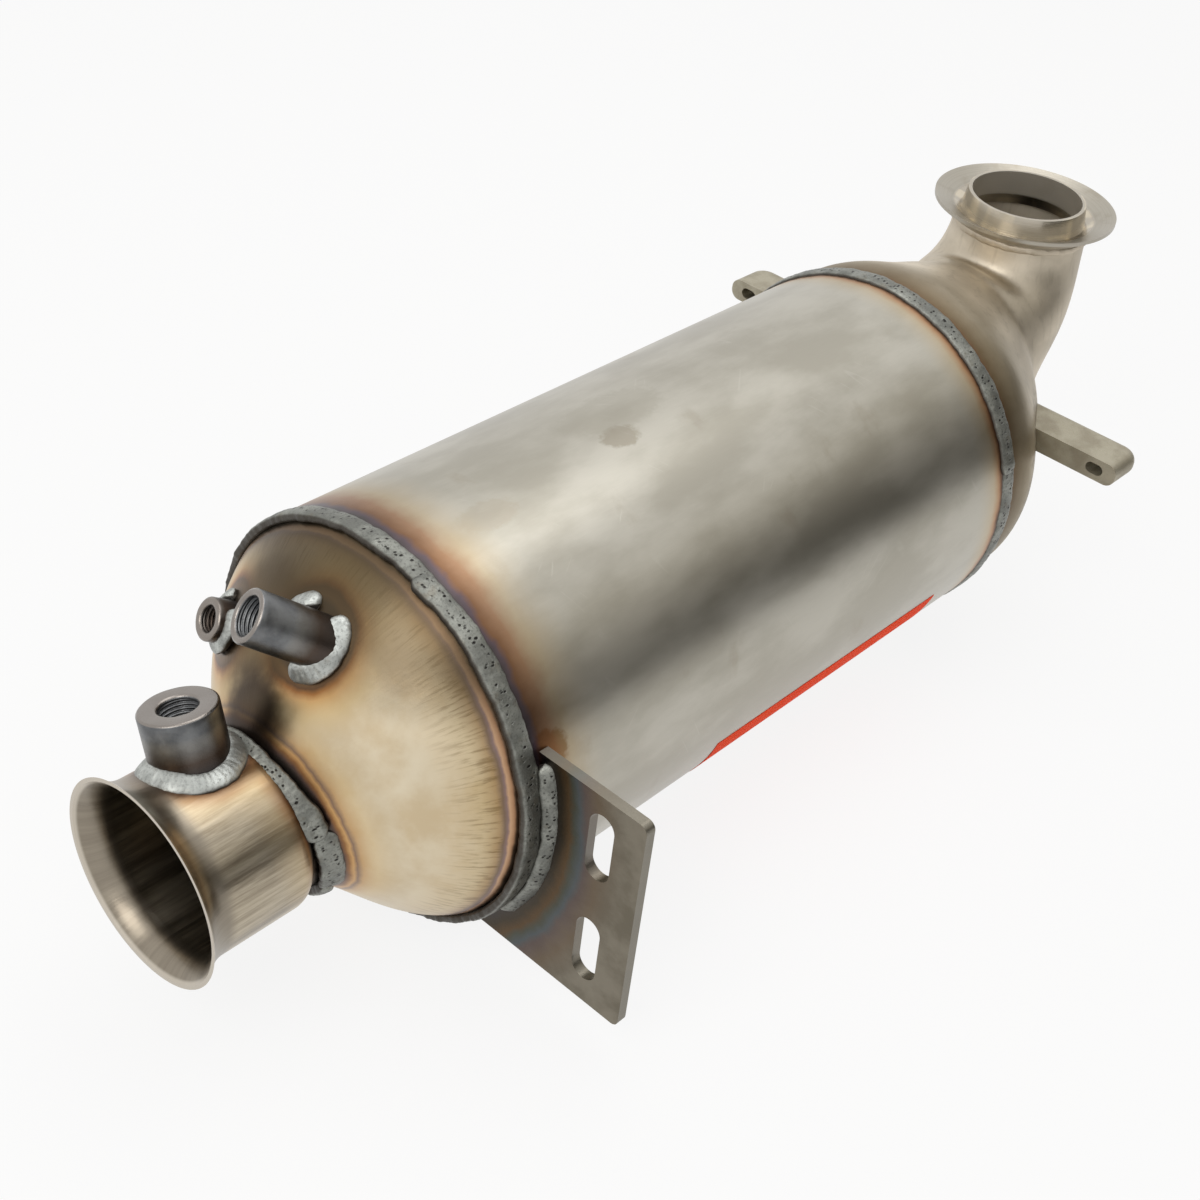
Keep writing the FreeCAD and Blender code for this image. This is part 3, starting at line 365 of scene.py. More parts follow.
scored = sums(tree, "MAXIMUM", scratches(tree, sheet, 38, 3.0), scratches(tree, sheet, -62, 11.0))
colour = blend_in(tree, times(tree, scored, 0.14), colour, (0.66, 0.64, 0.58))
front = from_ring(tree, spot, (FRONT_RING_X, 0, CAN_AXIS_Z), (1, 0, 0), RING_R)
rear = from_ring(tree, spot, (REAR_RING_X, 0, CAN_AXIS_Z), (1, 0, 0), RING_R)
colour = tint(tree, colour, wobbled(tree, spot, front, 5.0), CAN_TINT)
colour = tint(tree, colour, wobbled(tree, spot, rear, 3.0), REAR_TINT)
gloss = slope(tree, cloud, 0.16, slope(tree, fine, 0.10, 0.21))
put_on(tree, shader, colour, gloss)
relief = slope(tree, scored, -0.15, slope(tree, fine, 0.12, cloud))
bump(tree, shader, relief, 0.35, 0.25)
print("can steel has", len(tree.nodes), "nodes")

# %% [markdown]
# ## The front cone's steel
# The cone got the most heat: three bosses, the neck and the ring were all welded to it. Beside the
# ring runs a copper band with a violet edge, then fine dark lines along the draw of the sheet. The
# rest is straw and gold, and nearly black between the bosses. A near-black spot in the crease above
# the neck is painted shade.

# %% The front cone
CONE_RING_TINT = [
    (4.0, (0.09, 0.05, 0.03), 0.95), (4.9, (0.36, 0.19, 0.10), 0.95), (6.2, (0.52, 0.31, 0.18), 0.9),
    (7.0, (0.17, 0.10, 0.11), 0.85), (8.0, (0.12, 0.065, 0.045), 0.85), (10, (0.32, 0.19, 0.07), 0.75),
    (15, (0.47, 0.34, 0.155), 0.5), (25, STRAW, 0.25), (38, PALE, 0),
]
NECK_SIDE_TINT = [
    (3.6, SOOT, 0.95), (5.2, (0.08, 0.045, 0.04), 0.95), (6.6, (0.24, 0.10, 0.03), 0.92),
    (8.0, (0.55, 0.30, 0.10), 0.85), (9.2, (0.15, 0.07, 0.05), 0.8), (11, (0.50, 0.28, 0.10), 0.72),
    (16, (0.64, 0.46, 0.22), 0.45), (28, PALE, 0),
]


def boss_seams(tree, spot, colour):
    """Tint round the feet of the two bosses on the cone."""
    for foot, radius in ((PRESSURE_FOOT, 9.5), (SIDE_FOOT, 8.0)):
        seam = sums(tree, "SUBTRACT", from_point(tree, spot, foot), radius)
        seam = sums(tree, "MAXIMUM", wobbled(tree, spot, seam, 3.0), 0.0)
        colour = tint(tree, colour, seam, BOSS_TINT)
    return colour


def round_spot(tree, spot, centre, wander, near, far):
    """A round patch with a wandering edge: 1 within near of its centre, 0 past far."""
    return fading(tree, wobbled(tree, spot, from_point(tree, spot, centre), wander), near, far)


cone_steel, tree, shader = new_finish("heat_tinted_cone_steel")
spot = millimetres(tree)
x, turn, _ = turn_round(tree, spot, CAN_AXIS_Z)
ray = add(tree, "CombineXYZ", [times(tree, turn, 58.0), times(tree, x, 0.11), 0.0])
drawn = add(tree, "TexNoise", {"Vector": ray, "Scale": 1.0, "Detail": 4.0, "Roughness": 0.6}, out="Fac")
cloud = grain(tree, spot, (0.05, 0.05, 0.05), detail=5.0)
colour = blend_in(tree, between(tree, cloud, 0.35, 0.68), (0.60, 0.48, 0.31), (0.72, 0.63, 0.47))
ring = from_ring(tree, spot, (FRONT_RING_X, 0, CAN_AXIS_Z), (1, 0, 0), RING_R)
ring_near = wobbled(tree, spot, ring, 2.2, size=0.13)
streaked_zone = times(tree, fading(tree, ring_near, 9.0, 30.0), between(tree, ring_near, 7.5, 9.5))
streak = times(tree, between(tree, drawn, 0.47, 0.66), streaked_zone)
colour = tint(tree, colour, ring_near, CONE_RING_TINT)
colour = blend_in(tree, times(tree, streak, 0.62), colour, (0.17, 0.11, 0.045))
neck_gap = from_ring(tree, spot, *NECK_SEAM)
colour = tint(tree, colour, wobbled(tree, spot, neck_gap, 3.0), NECK_SIDE_TINT)
colour = boss_seams(tree, spot, colour)
crown = round_spot(tree, spot, (52, 25, 60), 8.0, 16.0, 35.0)
colour = blend_in(tree, times(tree, crown, 0.86), colour, (0.105, 0.068, 0.034))
# painted shade: a near-black spot in the crease where the top of the neck meets the cone
painted_gulley_shade = round_spot(tree, spot, (40, 9, 38), 7.0, 8.0, 20.0)
colour = blend_in(tree, times(tree, painted_gulley_shade, 0.9), colour, (0.05, 0.036, 0.028))
_, _, height = x_y_z(tree, wobbled_spot(tree, spot, 9.0))
scorched = times(tree, between(tree, height, 48.0, 72.0), 0.85)
colour = blend_in(tree, scorched, colour, (0.075, 0.055, 0.033))
put_on(tree, shader, colour, slope(tree, cloud, 0.18, 0.24))
bump(tree, shader, slope(tree, drawn, 0.3, cloud), 0.4, 0.3)
print("cone steel has", len(tree.nodes), "nodes")

# %% [markdown]
# ## The inlet neck's steel
# The neck is drawn tube. It keeps the streaks of the drawing die along its length, darker and warmer
# than the can, with a burnt ring at the seam and under the large boss. Inside, painted shade darkens the
# bore further in, and a painted highlight lightens the rim of the flare.

# %% The neck
NECK_TUBE_TINT = [
    (3.4, SOOT, 0.95), (5.2, (0.15, 0.07, 0.03), 0.9), (7.5, (0.36, 0.20, 0.085), 0.6),
    (11, (0.56, 0.42, 0.23), 0.35), (20, STRAW, 0),
]
neck_steel, tree, shader = new_finish("drawn_neck_steel")
spot = millimetres(tree)
x, turn, radius = turn_round(tree, spot, 0.0)
ray = add(tree, "CombineXYZ", [times(tree, x, 0.012), times(tree, turn, 6.5), 0.0])
drawn = add(tree, "TexNoise", {"Vector": ray, "Scale": 1.0, "Detail": 6.0, "Roughness": 0.7}, out="Fac")
colour = blend_in(tree, between(tree, drawn, 0.34, 0.64), (0.24, 0.20, 0.145), (0.52, 0.455, 0.35))
neck_gap = from_ring(tree, spot, *NECK_SEAM)
colour = tint(tree, colour, wobbled(tree, spot, neck_gap, 2.0), NECK_TUBE_TINT)
saddle = from_ring(tree, spot, (17.0, 9.0, 29.5), TEMPERATURE_AXIS, 14.0)
colour = tint(tree, colour, wobbled(tree, spot, saddle, 2.0), NECK_TUBE_TINT)
bell = fading(tree, x, -2.0, 3.0)
colour = blend_in(tree, times(tree, bell, 0.78), colour, (0.235, 0.205, 0.165))
# painted highlight: the flare's rim is lightened along its edge
polished_rim_highlight = fading(tree, x, -10.6, -9.7)
colour = blend_in(tree, times(tree, polished_rim_highlight, 0.7), colour, (0.66, 0.60, 0.51))
# painted shade: the inner wall grows darker further into the bore
deep = times(tree, fading(tree, radius, 31.1, 31.9), between(tree, x, -9.0, 30.0))
colour = blend_in(tree, times(tree, deep, 0.6), colour, (0.06, 0.05, 0.036))
put_on(tree, shader, colour, slope(tree, drawn, 0.22, 0.2))
bump(tree, shader, drawn, 0.5, 0.25)
print("neck steel has", len(tree.nodes), "nodes")

# %% [markdown]
# ## The rear elbow's steel
# The elbow is pressed deep in one piece, so its skin has turned to a fine matt orange peel with a warm
# cast, and a few draw marks under the throat. Its inside gets little light, so part of it is left dull.
# A dark patch on its lower flank is painted shade.

# %% The elbow
elbow_steel, tree, shader = new_finish("pressed_elbow_steel")
spot = millimetres(tree)
peel = grain(tree, spot, (1.4, 1.4, 1.4), detail=2.0)
cloud = grain(tree, spot, (0.03, 0.03, 0.045), detail=5.0, seed=7.0)
pull = grain(tree, spot, (0.32, 0.32, 0.03), detail=4.0, seed=3.0)
colour = blend_in(tree, between(tree, cloud, 0.35, 0.68), (0.51, 0.45, 0.355), (0.68, 0.605, 0.49))
drag = times(tree, between(tree, pull, 0.52, 0.7), 0.22)
colour = blend_in(tree, drag, colour, (0.26, 0.22, 0.16))
ring = from_ring(tree, spot, (REAR_RING_X, 0, CAN_AXIS_Z), (1, 0, 0), RING_R)
colour = tint(tree, colour, wobbled(tree, spot, ring, 4.0), [
    (3.8, SOOT, 0.95), (5.5, (0.13, 0.06, 0.025), 0.95), (9, (0.13, 0.088, 0.042), 0.92),
    (16, (0.19, 0.15, 0.09), 0.8), (27, (0.32, 0.27, 0.185), 0.45), (39, PALE, 0),
])
# painted shade: a dark patch on the lower flank stands in for the card's dark reflection there
painted_flank_shade = patch(tree, spot, (424, -62, 8), (44, 24, 44), 4)
colour = blend_in(tree, times(tree, painted_flank_shade, 0.75), colour, (0.15, 0.12, 0.075))
x, y, height = x_y_z(tree, spot)
reach = root_of_squares(tree, sums(tree, "SUBTRACT", x, OUTLET_X), y)
bore = times(tree, fading(tree, reach, 28.5, 29.2), between(tree, height, 15.0, 40.0))
lip = times(tree, between(tree, height, 84.0, 92.0), 0.2)
colour = blend_in(tree, lip, colour, (0.24, 0.18, 0.12))
gloss = slope(tree, cloud, 0.14, 0.41)
put_on(tree, shader, colour, gloss, slope(tree, bore, -0.7, 1.0))
bump(tree, shader, slope(tree, peel, 0.25, pull), 0.35, 0.25)

print("elbow steel has", len(tree.nodes), "nodes")

# %% [markdown]
# ## The clamp flange's steel
# The flange is turned, and its collar is polished where the clamp's seal sits. Noise on the distance from
# the outlet's axis gives the fine rings that the tool leaves. Gold streaks on the collar's outer face are
# a painted highlight.

# %% The flange
flange_steel, tree, shader = new_finish("turned_flange_steel")
spot = millimetres(tree)
x, y, height = x_y_z(tree, spot)
reach = root_of_squares(tree, sums(tree, "SUBTRACT", x, OUTLET_X), y)
turning = add(tree, "CombineXYZ", [times(tree, reach, 2.2), times(tree, height, 2.2), 0.0])
rings = add(tree, "TexNoise", {"Vector": turning, "Scale": 1.0, "Detail": 3.0, "Roughness": 0.6}, out="Fac")
cloud = grain(tree, spot, (0.09, 0.09, 0.09), detail=5.0, seed=2.0)
colour = blend_in(tree, rings, (0.32, 0.295, 0.245), (0.50, 0.465, 0.40))
colour = blend_in(tree, times(tree, between(tree, cloud, 0.5, 0.7), 0.4), colour, (0.28, 0.24, 0.18))
collar = fading(tree, reach, 30.5, 32.0)
# painted highlight: bright gold streaks on the collar's outer face
streaks = grain(tree, spot, (0.12, 0.12, 0.01), detail=1.0, seed=9.0)
outer = times(tree, collar, between(tree, reach, 25.2, 25.8))
painted_gold_highlight = times(tree, outer, between(tree, streaks, 0.42, 0.66))
colour = blend_in(tree, times(tree, collar, 0.6), colour, (0.50, 0.45, 0.37))
colour = blend_in(tree, times(tree, painted_gold_highlight, 0.5), colour, (0.80, 0.70, 0.53))
bore = fading(tree, reach, 24.6, 25.0)
gloss = slope(tree, collar, -0.13, slope(tree, rings, 0.12, 0.27))
put_on(tree, shader, colour, gloss, slope(tree, bore, -0.6, 1.0))
bump(tree, shader, rings, 0.3, 0.15)
print("flange steel has", len(tree.nodes), "nodes")

# %% [markdown]
# ## The bosses' steel
# The bosses are turned from mild steel bar. They darken when they are welded, most of all at the foot,
# and their faced tops stay brighter. Height along each boss's axis tells the top from the side.

# %% The bosses
FOOT_TINT = [(0, SOOT, 0.9), (5, (0.075, 0.05, 0.035), 0.85), (9, (0.15, 0.12, 0.09), 0.4), (14, PALE, 0)]
boss_steel, tree, shader = new_finish("turned_boss_steel")
spot = millimetres(tree)
cloud = grain(tree, spot, (0.12, 0.12, 0.12), detail=4.0)
fine = grain(tree, spot, (2.4, 2.4, 2.4), detail=3.0, seed=4.0)
colour = blend_in(tree, between(tree, cloud, 0.35, 0.65), (0.12, 0.125, 0.13), (0.20, 0.205, 0.208))
rust = times(tree, between(tree, fine, 0.60, 0.72), 0.35)
colour = blend_in(tree, rust, colour, (0.13, 0.07, 0.04))
faced = 0.0
for mouth, foot, axis, radius in (
    (PRESSURE_MOUTH, PRESSURE_FOOT, PRESSURE_AXIS, PRESSURE_R),
    (SIDE_MOUTH, SIDE_FOOT, SIDE_AXIS, SIDE_R),
    (TEMPERATURE_MOUTH, TEMPERATURE_FOOT, TEMPERATURE_AXIS, TEMPERATURE_R),
):
    colour = tint(tree, colour, from_ring(tree, spot, foot, axis, radius), FOOT_TINT)
    arm = add(tree, "VectorMath", [spot, mouth], operation="SUBTRACT")
    level = between(tree, dot(tree, arm, axis), -0.75, -0.45)
    face = times(tree, level, fading(tree, length_of(tree, arm), 14.0, 15.0))
    faced = sums(tree, "MAXIMUM", faced, face)
colour = blend_in(tree, times(tree, faced, 0.75), colour, (0.30, 0.265, 0.235))
gloss = slope(tree, faced, -0.12, slope(tree, cloud, 0.2, 0.24))
put_on(tree, shader, colour, gloss)
bump(tree, shader, fine, 0.4, 0.2)

print("boss steel has", len(tree.nodes), "nodes")

# %% [markdown]
# ## Bracket plate and cast lugs
# The bracket is cut from hot-rolled plate, dull brown with paler cut edges, and blue and violet beside
# its weld. The lugs are cast and blasted, so they are light, khaki and sandy.

# %% The bracket and the lugs
plate_steel, tree, shader = new_finish("hot_rolled_plate")
spot = millimetres(tree)
cloud = grain(tree, spot, (0.07, 0.07, 0.07), detail=6.0, seed=5.0)
fine = grain(tree, spot, (1.8, 1.8, 1.8), detail=3.0)
colour = blend_in(tree, between(tree, cloud, 0.35, 0.65), (0.145, 0.125, 0.09), (0.22, 0.195, 0.15))
_, _, reach = turn_round(tree, spot, CAN_AXIS_Z)
gap = sums(tree, "MAXIMUM", sums(tree, "SUBTRACT", reach, CAN_R + 2), 0.0)
colour = tint(tree, colour, wobbled(tree, spot, gap, 5.0), [
    (0, SOOT, 0.95), (5, (0.045, 0.032, 0.018), 0.95), (8.5, (0.09, 0.048, 0.016), 0.92),
    (11, (0.055, 0.06, 0.045), 0.88), (13.5, (0.055, 0.075, 0.09), 0.8), (16, (0.085, 0.055, 0.055), 0.75),
    (22, (0.13, 0.085, 0.05), 0.65), (34, (0.15, 0.13, 0.10), 0),
])
face = add(tree, "NewGeometry", out="Normal")
edge = fading(tree, sums(tree, "ABSOLUTE", dot(tree, face, (1, 0, 0))), 0.3, 0.8)
colour = blend_in(tree, times(tree, edge, 0.6), colour, (0.225, 0.21, 0.175))
put_on(tree, shader, colour, slope(tree, cloud, 0.2, 0.28))
bump(tree, shader, slope(tree, fine, 0.5, cloud), 0.35, 0.25)

lug_steel, tree, shader = new_finish("blasted_cast_steel")
spot = millimetres(tree)
sand = grain(tree, spot, (1.5, 1.5, 1.5), detail=4.0, rough=0.7)
cloud = grain(tree, spot, (0.1, 0.1, 0.1), detail=5.0, seed=6.0)
colour = blend_in(tree, between(tree, cloud, 0.35, 0.65), (0.33, 0.295, 0.22), (0.43, 0.395, 0.305))
sandy = times(tree, between(tree, sand, 0.56, 0.7), 0.45)
colour = blend_in(tree, sandy, colour, (0.22, 0.18, 0.11))
put_on(tree, shader, colour, 0.46, 0.75)
bump(tree, shader, sand, 0.5, 0.35)
print("plate and lug steel are ready")

# %% [markdown]
# ## Weld metal
# A bead freezes in small crescents. The skin is dull grey with a pale film, dark at both edges, and
# gas leaves rows of pits along the middle. The bead's own map gives the place along it and across it.

# %% Weld metal
def weld_finish(name, pale, pitted):
    """Grey weld skin: dark edges, pale film in patches, and pits in a row where the noise lets them."""
    finish, tree, shader = new_finish(name)
    spot = millimetres(tree)
    along, across, _ = x_y_z(tree, add(tree, "UVMap", uv_map="bead"))
    off = sums(tree, "ABSOLUTE", across)
    film = grain(tree, spot, (0.13, 0.13, 0.13), detail=3.0, rough=0.5)
    fine = grain(tree, spot, (1.1, 1.1, 1.1), detail=4.0, rough=0.65, seed=3.0)
    colour = blend_in(tree, between(tree, film, 0.36, 0.66), tuple(c * 0.62 for c in pale), pale)
    speck = times(tree, between(tree, fine, 0.50, 0.64), 0.6)
    colour = blend_in(tree, speck, colour, tuple(c * 0.4 for c in pale))
    warm = between(tree, grain(tree, spot, (0.2, 0.2, 0.2), detail=5.0, seed=17.0), 0.55, 0.7)
    colour = blend_in(tree, times(tree, warm, 0.3), colour, (0.16, 0.125, 0.08))
    rim = between(tree, off, 0.74, 0.98)
    colour = blend_in(tree, times(tree, rim, 0.85), colour, (0.055, 0.045, 0.036))
    row = add(tree, "CombineXYZ", [times(tree, along, 0.62), times(tree, across, 2.3), 0.0])
    cell = add(tree, "TexVoronoi", {"Vector": row, "Scale": 1.0, "Randomness": 0.9})
    hole = times(tree, fading(tree, cell, 0.18, 0.36), fading(tree, off, 0.25, 0.5))
    stretch = grain(tree, spot, (0.06, 0.06, 0.06), detail=2.0, seed=8.0)
    pit = times(tree, hole, between(tree, stretch, pitted, pitted + 0.08))
    colour = blend_in(tree, pit, colour, (0.02, 0.018, 0.016))
    put_on(tree, shader, colour, slope(tree, fine, 0.2, 0.34), 0.85)
    bump(tree, shader, slope(tree, pit, -1.6, times(tree, fine, 0.6)), 0.6, 0.4)
    return finish


ring_weld = weld_finish("ring_weld_metal", (0.29, 0.295, 0.265), 0.28)
foot_weld = weld_finish("boss_weld_metal", (0.56, 0.58, 0.55), 0.68)
print("two weld skins are ready")

# %% [markdown]
# ## Label, bricks and mats
# The label is a bare strip of orange-red film. Inside, both bricks are honeycombs of square cells,
# drawn as a grid on their faces. The mats that hold them are white ceramic fibre.

# %% Label, bricks and mats
label_film, tree, shader = new_finish("bare_label_film")
spot = millimetres(tree)
cloud = grain(tree, spot, (0.08, 0.08, 0.08), detail=5.0)
speck = grain(tree, spot, (1.1, 1.1, 1.1), detail=3.0, seed=2.0)
colour = blend_in(tree, cloud, (1.0, 0.06, 0.015), (1.0, 0.11, 0.035))
faded = times(tree, between(tree, speck, 0.62, 0.72), 0.5)
colour = blend_in(tree, faded, colour, (0.55, 0.09, 0.04))
put_on(tree, shader, colour, slope(tree, cloud, 0.2, 0.5), 0.0)
shader.inputs["Specular IOR Level"].default_value = 0.03
bump(tree, shader, cloud, 0.2, 0.2)


def honeycomb(name, light, dark, pitch):
    """Square cells on the end faces: a wall wherever Y or Z is near a multiple of the pitch, and painted
    shade in the open cells.
    """
    finish, tree, shader = new_finish(name)
    spot = millimetres(tree)
    _, y, z = x_y_z(tree, spot)
    open_y, open_z = (
        between(tree, sums(tree, "PINGPONG", way, pitch / 2), pitch * 0.10, pitch * 0.16) for way in (y, z)
    )
    open_cell = times(tree, open_y, open_z)
    cloud = grain(tree, spot, (0.15, 0.15, 0.15), detail=5.0)
    # painted shade: the open cells are painted dark for the shade down their channels
    colour = blend_in(tree, open_cell, light, dark)
    colour = blend_in(tree, times(tree, cloud, 0.5), colour, tuple(c * 0.6 for c in light))
    put_on(tree, shader, colour, 0.85, 0.0)
    bump(tree, shader, sums(tree, "SUBTRACT", cloud, open_cell), 0.6, 0.8)
    return finish


catalyst = honeycomb("catalyst_honeycomb", (0.34, 0.27, 0.18), (0.02, 0.016, 0.012), 1.3)
wall_flow = honeycomb("filter_honeycomb", (0.30, 0.28, 0.25), (0.03, 0.028, 0.026), 1.8)
fibre_mat, tree, shader = new_finish("ceramic_fibre_mat")
spot = millimetres(tree)
fibres = grain(tree, spot, (0.5, 2.2, 2.2), detail=5.0, rough=0.7)
put_on(tree, shader, blend_in(tree, fibres, (0.45, 0.42, 0.36), (0.82, 0.80, 0.74)), 0.95, 0.0)
bump(tree, shader, fibres, 0.8, 0.6)
print("label, bricks and mats are ready")

# %% [markdown]
# ## From a grid of points to a mesh
# A carried section is a grid of points: one way along, the other way round. Neighbours in the grid make
# the faces, and a point in the middle of each end closes the skin. If its volume comes out below zero,
# the faces are turned to point outward.

# %% Grids and waves
def unit(v):
    """Vectors scaled to length one."""
    v = np.asarray(v, float)
    return v / np.linalg.norm(v, axis=-1, keepdims=True)


def waves(places, seed, sizes=(37, 17, 8.3, 4.1)):
    """Slow unevenness between about minus one and one: four sine waves with seeded phases."""
    rng = np.random.default_rng(seed)
    phase = rng.uniform(0, 2 * np.pi, (len(sizes),) + (1,) * places.ndim)
    weight = np.array([0.35, 0.3, 0.2, 0.15]).reshape((-1,) + (1,) * places.ndim)
    length = np.array(sizes, float).reshape((-1,) + (1,) * places.ndim)
    return (weight * np.sin(2 * np.pi * places / length + phase)).sum(0)


def grid_piece(name, points, closed, uv=None):
    """A mesh from a grid of points in millimetres, wrapped round its second axis.

    A closed grid is wrapped along its first axis too; an open one gets a pole at each end.
    """
    rows, columns, _ = points.shape
    index = np.arange(rows * columns).reshape(rows, columns)
    right = np.roll(index, -1, axis=1)
    if closed:
        down, down_right = np.roll(index, -1, axis=0), np.roll(right, -1, axis=0)
        quads = np.stack([index, right, down_right, down], -1).reshape(-1, 4)
        verts, extra = points.reshape(-1, 3), []
    else:
        quads = np.stack([index[:-1], right[:-1], right[1:], index[1:]], -1).reshape(-1, 4)
        poles = np.stack([points[0].mean(0), points[-1].mean(0)])
        verts = np.concatenate([points.reshape(-1, 3), poles])
        first = np.stack([right[0], index[0], np.full(columns, rows * columns)], -1)
        last = np.stack([index[-1], right[-1], np.full(columns, rows * columns + 1)], -1)
        extra = [*first.tolist(), *last.tolist()]
    mesh = bpy.data.meshes.new(name)
    mesh.from_pydata((verts / 1000).tolist(), [], quads.tolist() + extra)
    if uv is not None:
        flat = uv.reshape(-1, 2)
        if not closed:
            flat = np.concatenate([flat, [uv[0].mean(0), uv[-1].mean(0)]])
        corner = np.zeros(len(mesh.loops), np.int32)
        mesh.loops.foreach_get("vertex_index", corner)
        layer = mesh.uv_layers.new(name="bead")
        layer.data.foreach_set("uv", flat[corner].astype(np.float32).ravel())
    mesh.validate()
    mesh.polygons.foreach_set("use_smooth", np.ones(len(mesh.polygons), bool))
    volume = np.einsum("ij,ij->", verts[quads[:, 0]], np.cross(verts[quads[:, 1]], verts[quads[:, 2]]))
    if volume < 0:
        mesh.flip_normals()
    mesh.update()
    piece = bpy.data.objects.new(name, mesh)
    bpy.context.scene.collection.objects.link(piece)
    return piece


print("waves at 0 and 5 mm", waves(np.array([0.0, 5.0]), 1).round(2))

# %% [markdown]
# ## A bead as a surface
# A bead is one section carried along a path. The section is a flattened oval, wider than it is high.
# Its size swells and shrinks with slow waves, each frozen crescent dips a little at its edge, and both
# ends close in a round lobe. All points are worked out at once on a grid of place along and angle round.

# %% Bead surface
def lay_bead(name, path, away, wide, high, seed, closed=False, ripple=0.2, finish=None, craters=()):
    """A weld bead along a path: an oval section whose across and away sizes follow the unevenness.

    Ripples are the arch of a sine whose phase bows across the bead, so each crescent points back.
    A crater is a round dip: depth times e to the minus squared distance over its radius squared.
    """
    steps = np.linalg.norm(np.diff(path, axis=0), axis=1)
    along = np.concatenate([[0], np.cumsum(steps)])
    total = along[-1]
    ahead = unit(np.gradient(path, axis=0))
    away = unit(away - (away * ahead).sum(1, keepdims=True) * ahead)
    across = np.cross(ahead, away)
    turn = np.linspace(0, 2 * np.pi, 28, endpoint=False)
    cos, sin = np.cos(turn), np.sin(turn)
    width_shape = np.sign(cos) * np.abs(cos) ** 0.72
    height_shape = np.sign(sin) * np.abs(sin) ** 0.6
    wide_end = np.max(wide)
    swell = 1 + 0.10 * waves(along, seed)[:, None]
    drift = 0.35 * waves(along, seed + 1, (29, 13, 6.1, 3.3))[:, None]
    close = np.ones_like(along)
    if not closed:
        near = np.minimum(along, total - along)
        close = np.sqrt(np.clip(1 - (1 - np.clip(near / wide_end, 0.004, 1)) ** 2, 0, 1))
    place = along[:, None] / 1.9 - 0.9 * (1 - np.abs(cos)[None, :] ** 2)
    crest = np.abs(np.sin(np.pi * place)) ** 0.7 - 0.7
    rough = 0.10 * waves(along[:, None] + 3 * turn[None, :], seed + 2, (5.3, 3.1, 2.2, 1.7))
    lift = (ripple * crest + rough) * np.clip(sin, 0, 1)[None, :]
    for back, aside, wide_hole, deep in craters:
        reach = (along[:, None] - total + back) ** 2 + (width_shape[None, :] * wide_end - aside) ** 2
        lift = lift - deep * np.exp(-reach / wide_hole**2) * (sin > 0)[None, :]
    side = (width_shape[None, :] * np.reshape(wide, (-1, 1)) * swell + drift) * close[:, None]
    rise = (height_shape[None, :] * high * swell + lift) * close[:, None]
    points = path[:, None, :] + across[:, None, :] * side[:, :, None] + away[:, None, :] * rise[:, :, None]
    uv = np.stack(np.broadcast_arrays(along[:, None], cos[None, :]), -1)
    if closed:
        points, uv = points[:-1], uv[:-1]
    piece = grid_piece(name, points, closed, uv)
    piece.data.materials.append(finish)
    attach(piece, "root")
    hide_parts(name)
    return total


def hoop(centre_x, radius, start, end, step=0.8, centre_z=CAN_AXIS_Z, lean=0.0):
    """A path round the gas way between two angles from +Y over +Z, and its outward directions."""
    turn = np.radians(np.linspace(start, end, max(8, int(math.radians(abs(end - start)) * radius / step))))
    out = np.stack([-np.sin(turn) * math.sin(lean), np.cos(turn), np.sin(turn) * math.cos(lean)], 1)
    return np.array([centre_x, 0, centre_z]) + radius * out, out


print("half a front ring has", len(hoop(FRONT_RING_X, RING_R, 0, 180)[0]), "path points")

# %% [markdown]
# ## The ring and neck beads
# The front ring was welded in three passes and the rear ring in two, with a start lobe on top of the
# last one's end. The neck has two passes, and the longer one ends in a wide lobe with two craters.

# %% Lay the ring and neck beads
ring_passes = [
    ("front_ring_weld_upper", FRONT_RING_X, 3, 109.5, 11, 75.6),
    ("front_ring_weld_near", FRONT_RING_X, 105, 224, 12, 76.2),
    ("front_ring_weld_under", FRONT_RING_X, 221, 366, 13, 75.8),
    ("rear_ring_weld_upper", REAR_RING_X, -42, 164, 14, 76.1),
    ("rear_ring_weld_under", REAR_RING_X, 160, 322, 15, 75.4),
]
REAR_CRATERS = [(9, 0.5, 1.6, 0.8), (13, -0.8, 1.3, 0.6), (16, 0.9, 1.0, 0.5)]
for name, x, start, end, seed, radius in ring_passes:
    path, out = hoop(x, radius, start, end)
    if name == "front_ring_weld_near":
        path[:, 0] -= 1.6 * np.exp(-np.linspace(0, 12, len(path)) ** 2)
    wide, high = (3.9 if "upper" in name else 4.3, 1.85) if "front" in name else (4.5, 1.75)
    craters = REAR_CRATERS if name == "rear_ring_weld_upper" else ()
    length = lay_bead(name, path, out, wide, high, seed, finish=ring_weld, craters=craters)
    print(name, round(length), "mm long")

for name, x, radius, start, end, seed in (
    ("neck_weld_long", 39.2, 31.6, -152, 161, 21),
    ("neck_weld_short", 40.6, 31.6, 157, 215, 22),
):
    path, out = hoop(x, radius, start, end, 0.6, 0.0, NECK_LEAN)
    out = unit(out + np.array([-0.35, 0, 0]))
    lobe = np.exp(-((np.linspace(0, 1, len(path)) - 0.97) / 0.06) ** 2)
    wide, high = (2.9 + 1.5 * lobe, 2.4) if "long" in name else (4.6, 1.7)
    craters = [(4.5, 0.3, 1.2, 1.3), (8.5, 0.2, 1.3, 1.1)] if "long" in name else ()
    length = lay_bead(name, path, out, wide, high, seed, finish=ring_weld, craters=craters)
    print(name, round(length), "mm long")

# %% [markdown]
# ## Beads at the boss feet
# A boss bead follows the line where a round boss meets a curved skin. On the neck that line is a
# saddle: it drops where the tube falls away. On the cone it is nearly a flat circle round the skin's
# normal. Each path is worked out from the two shapes rather than drawn.

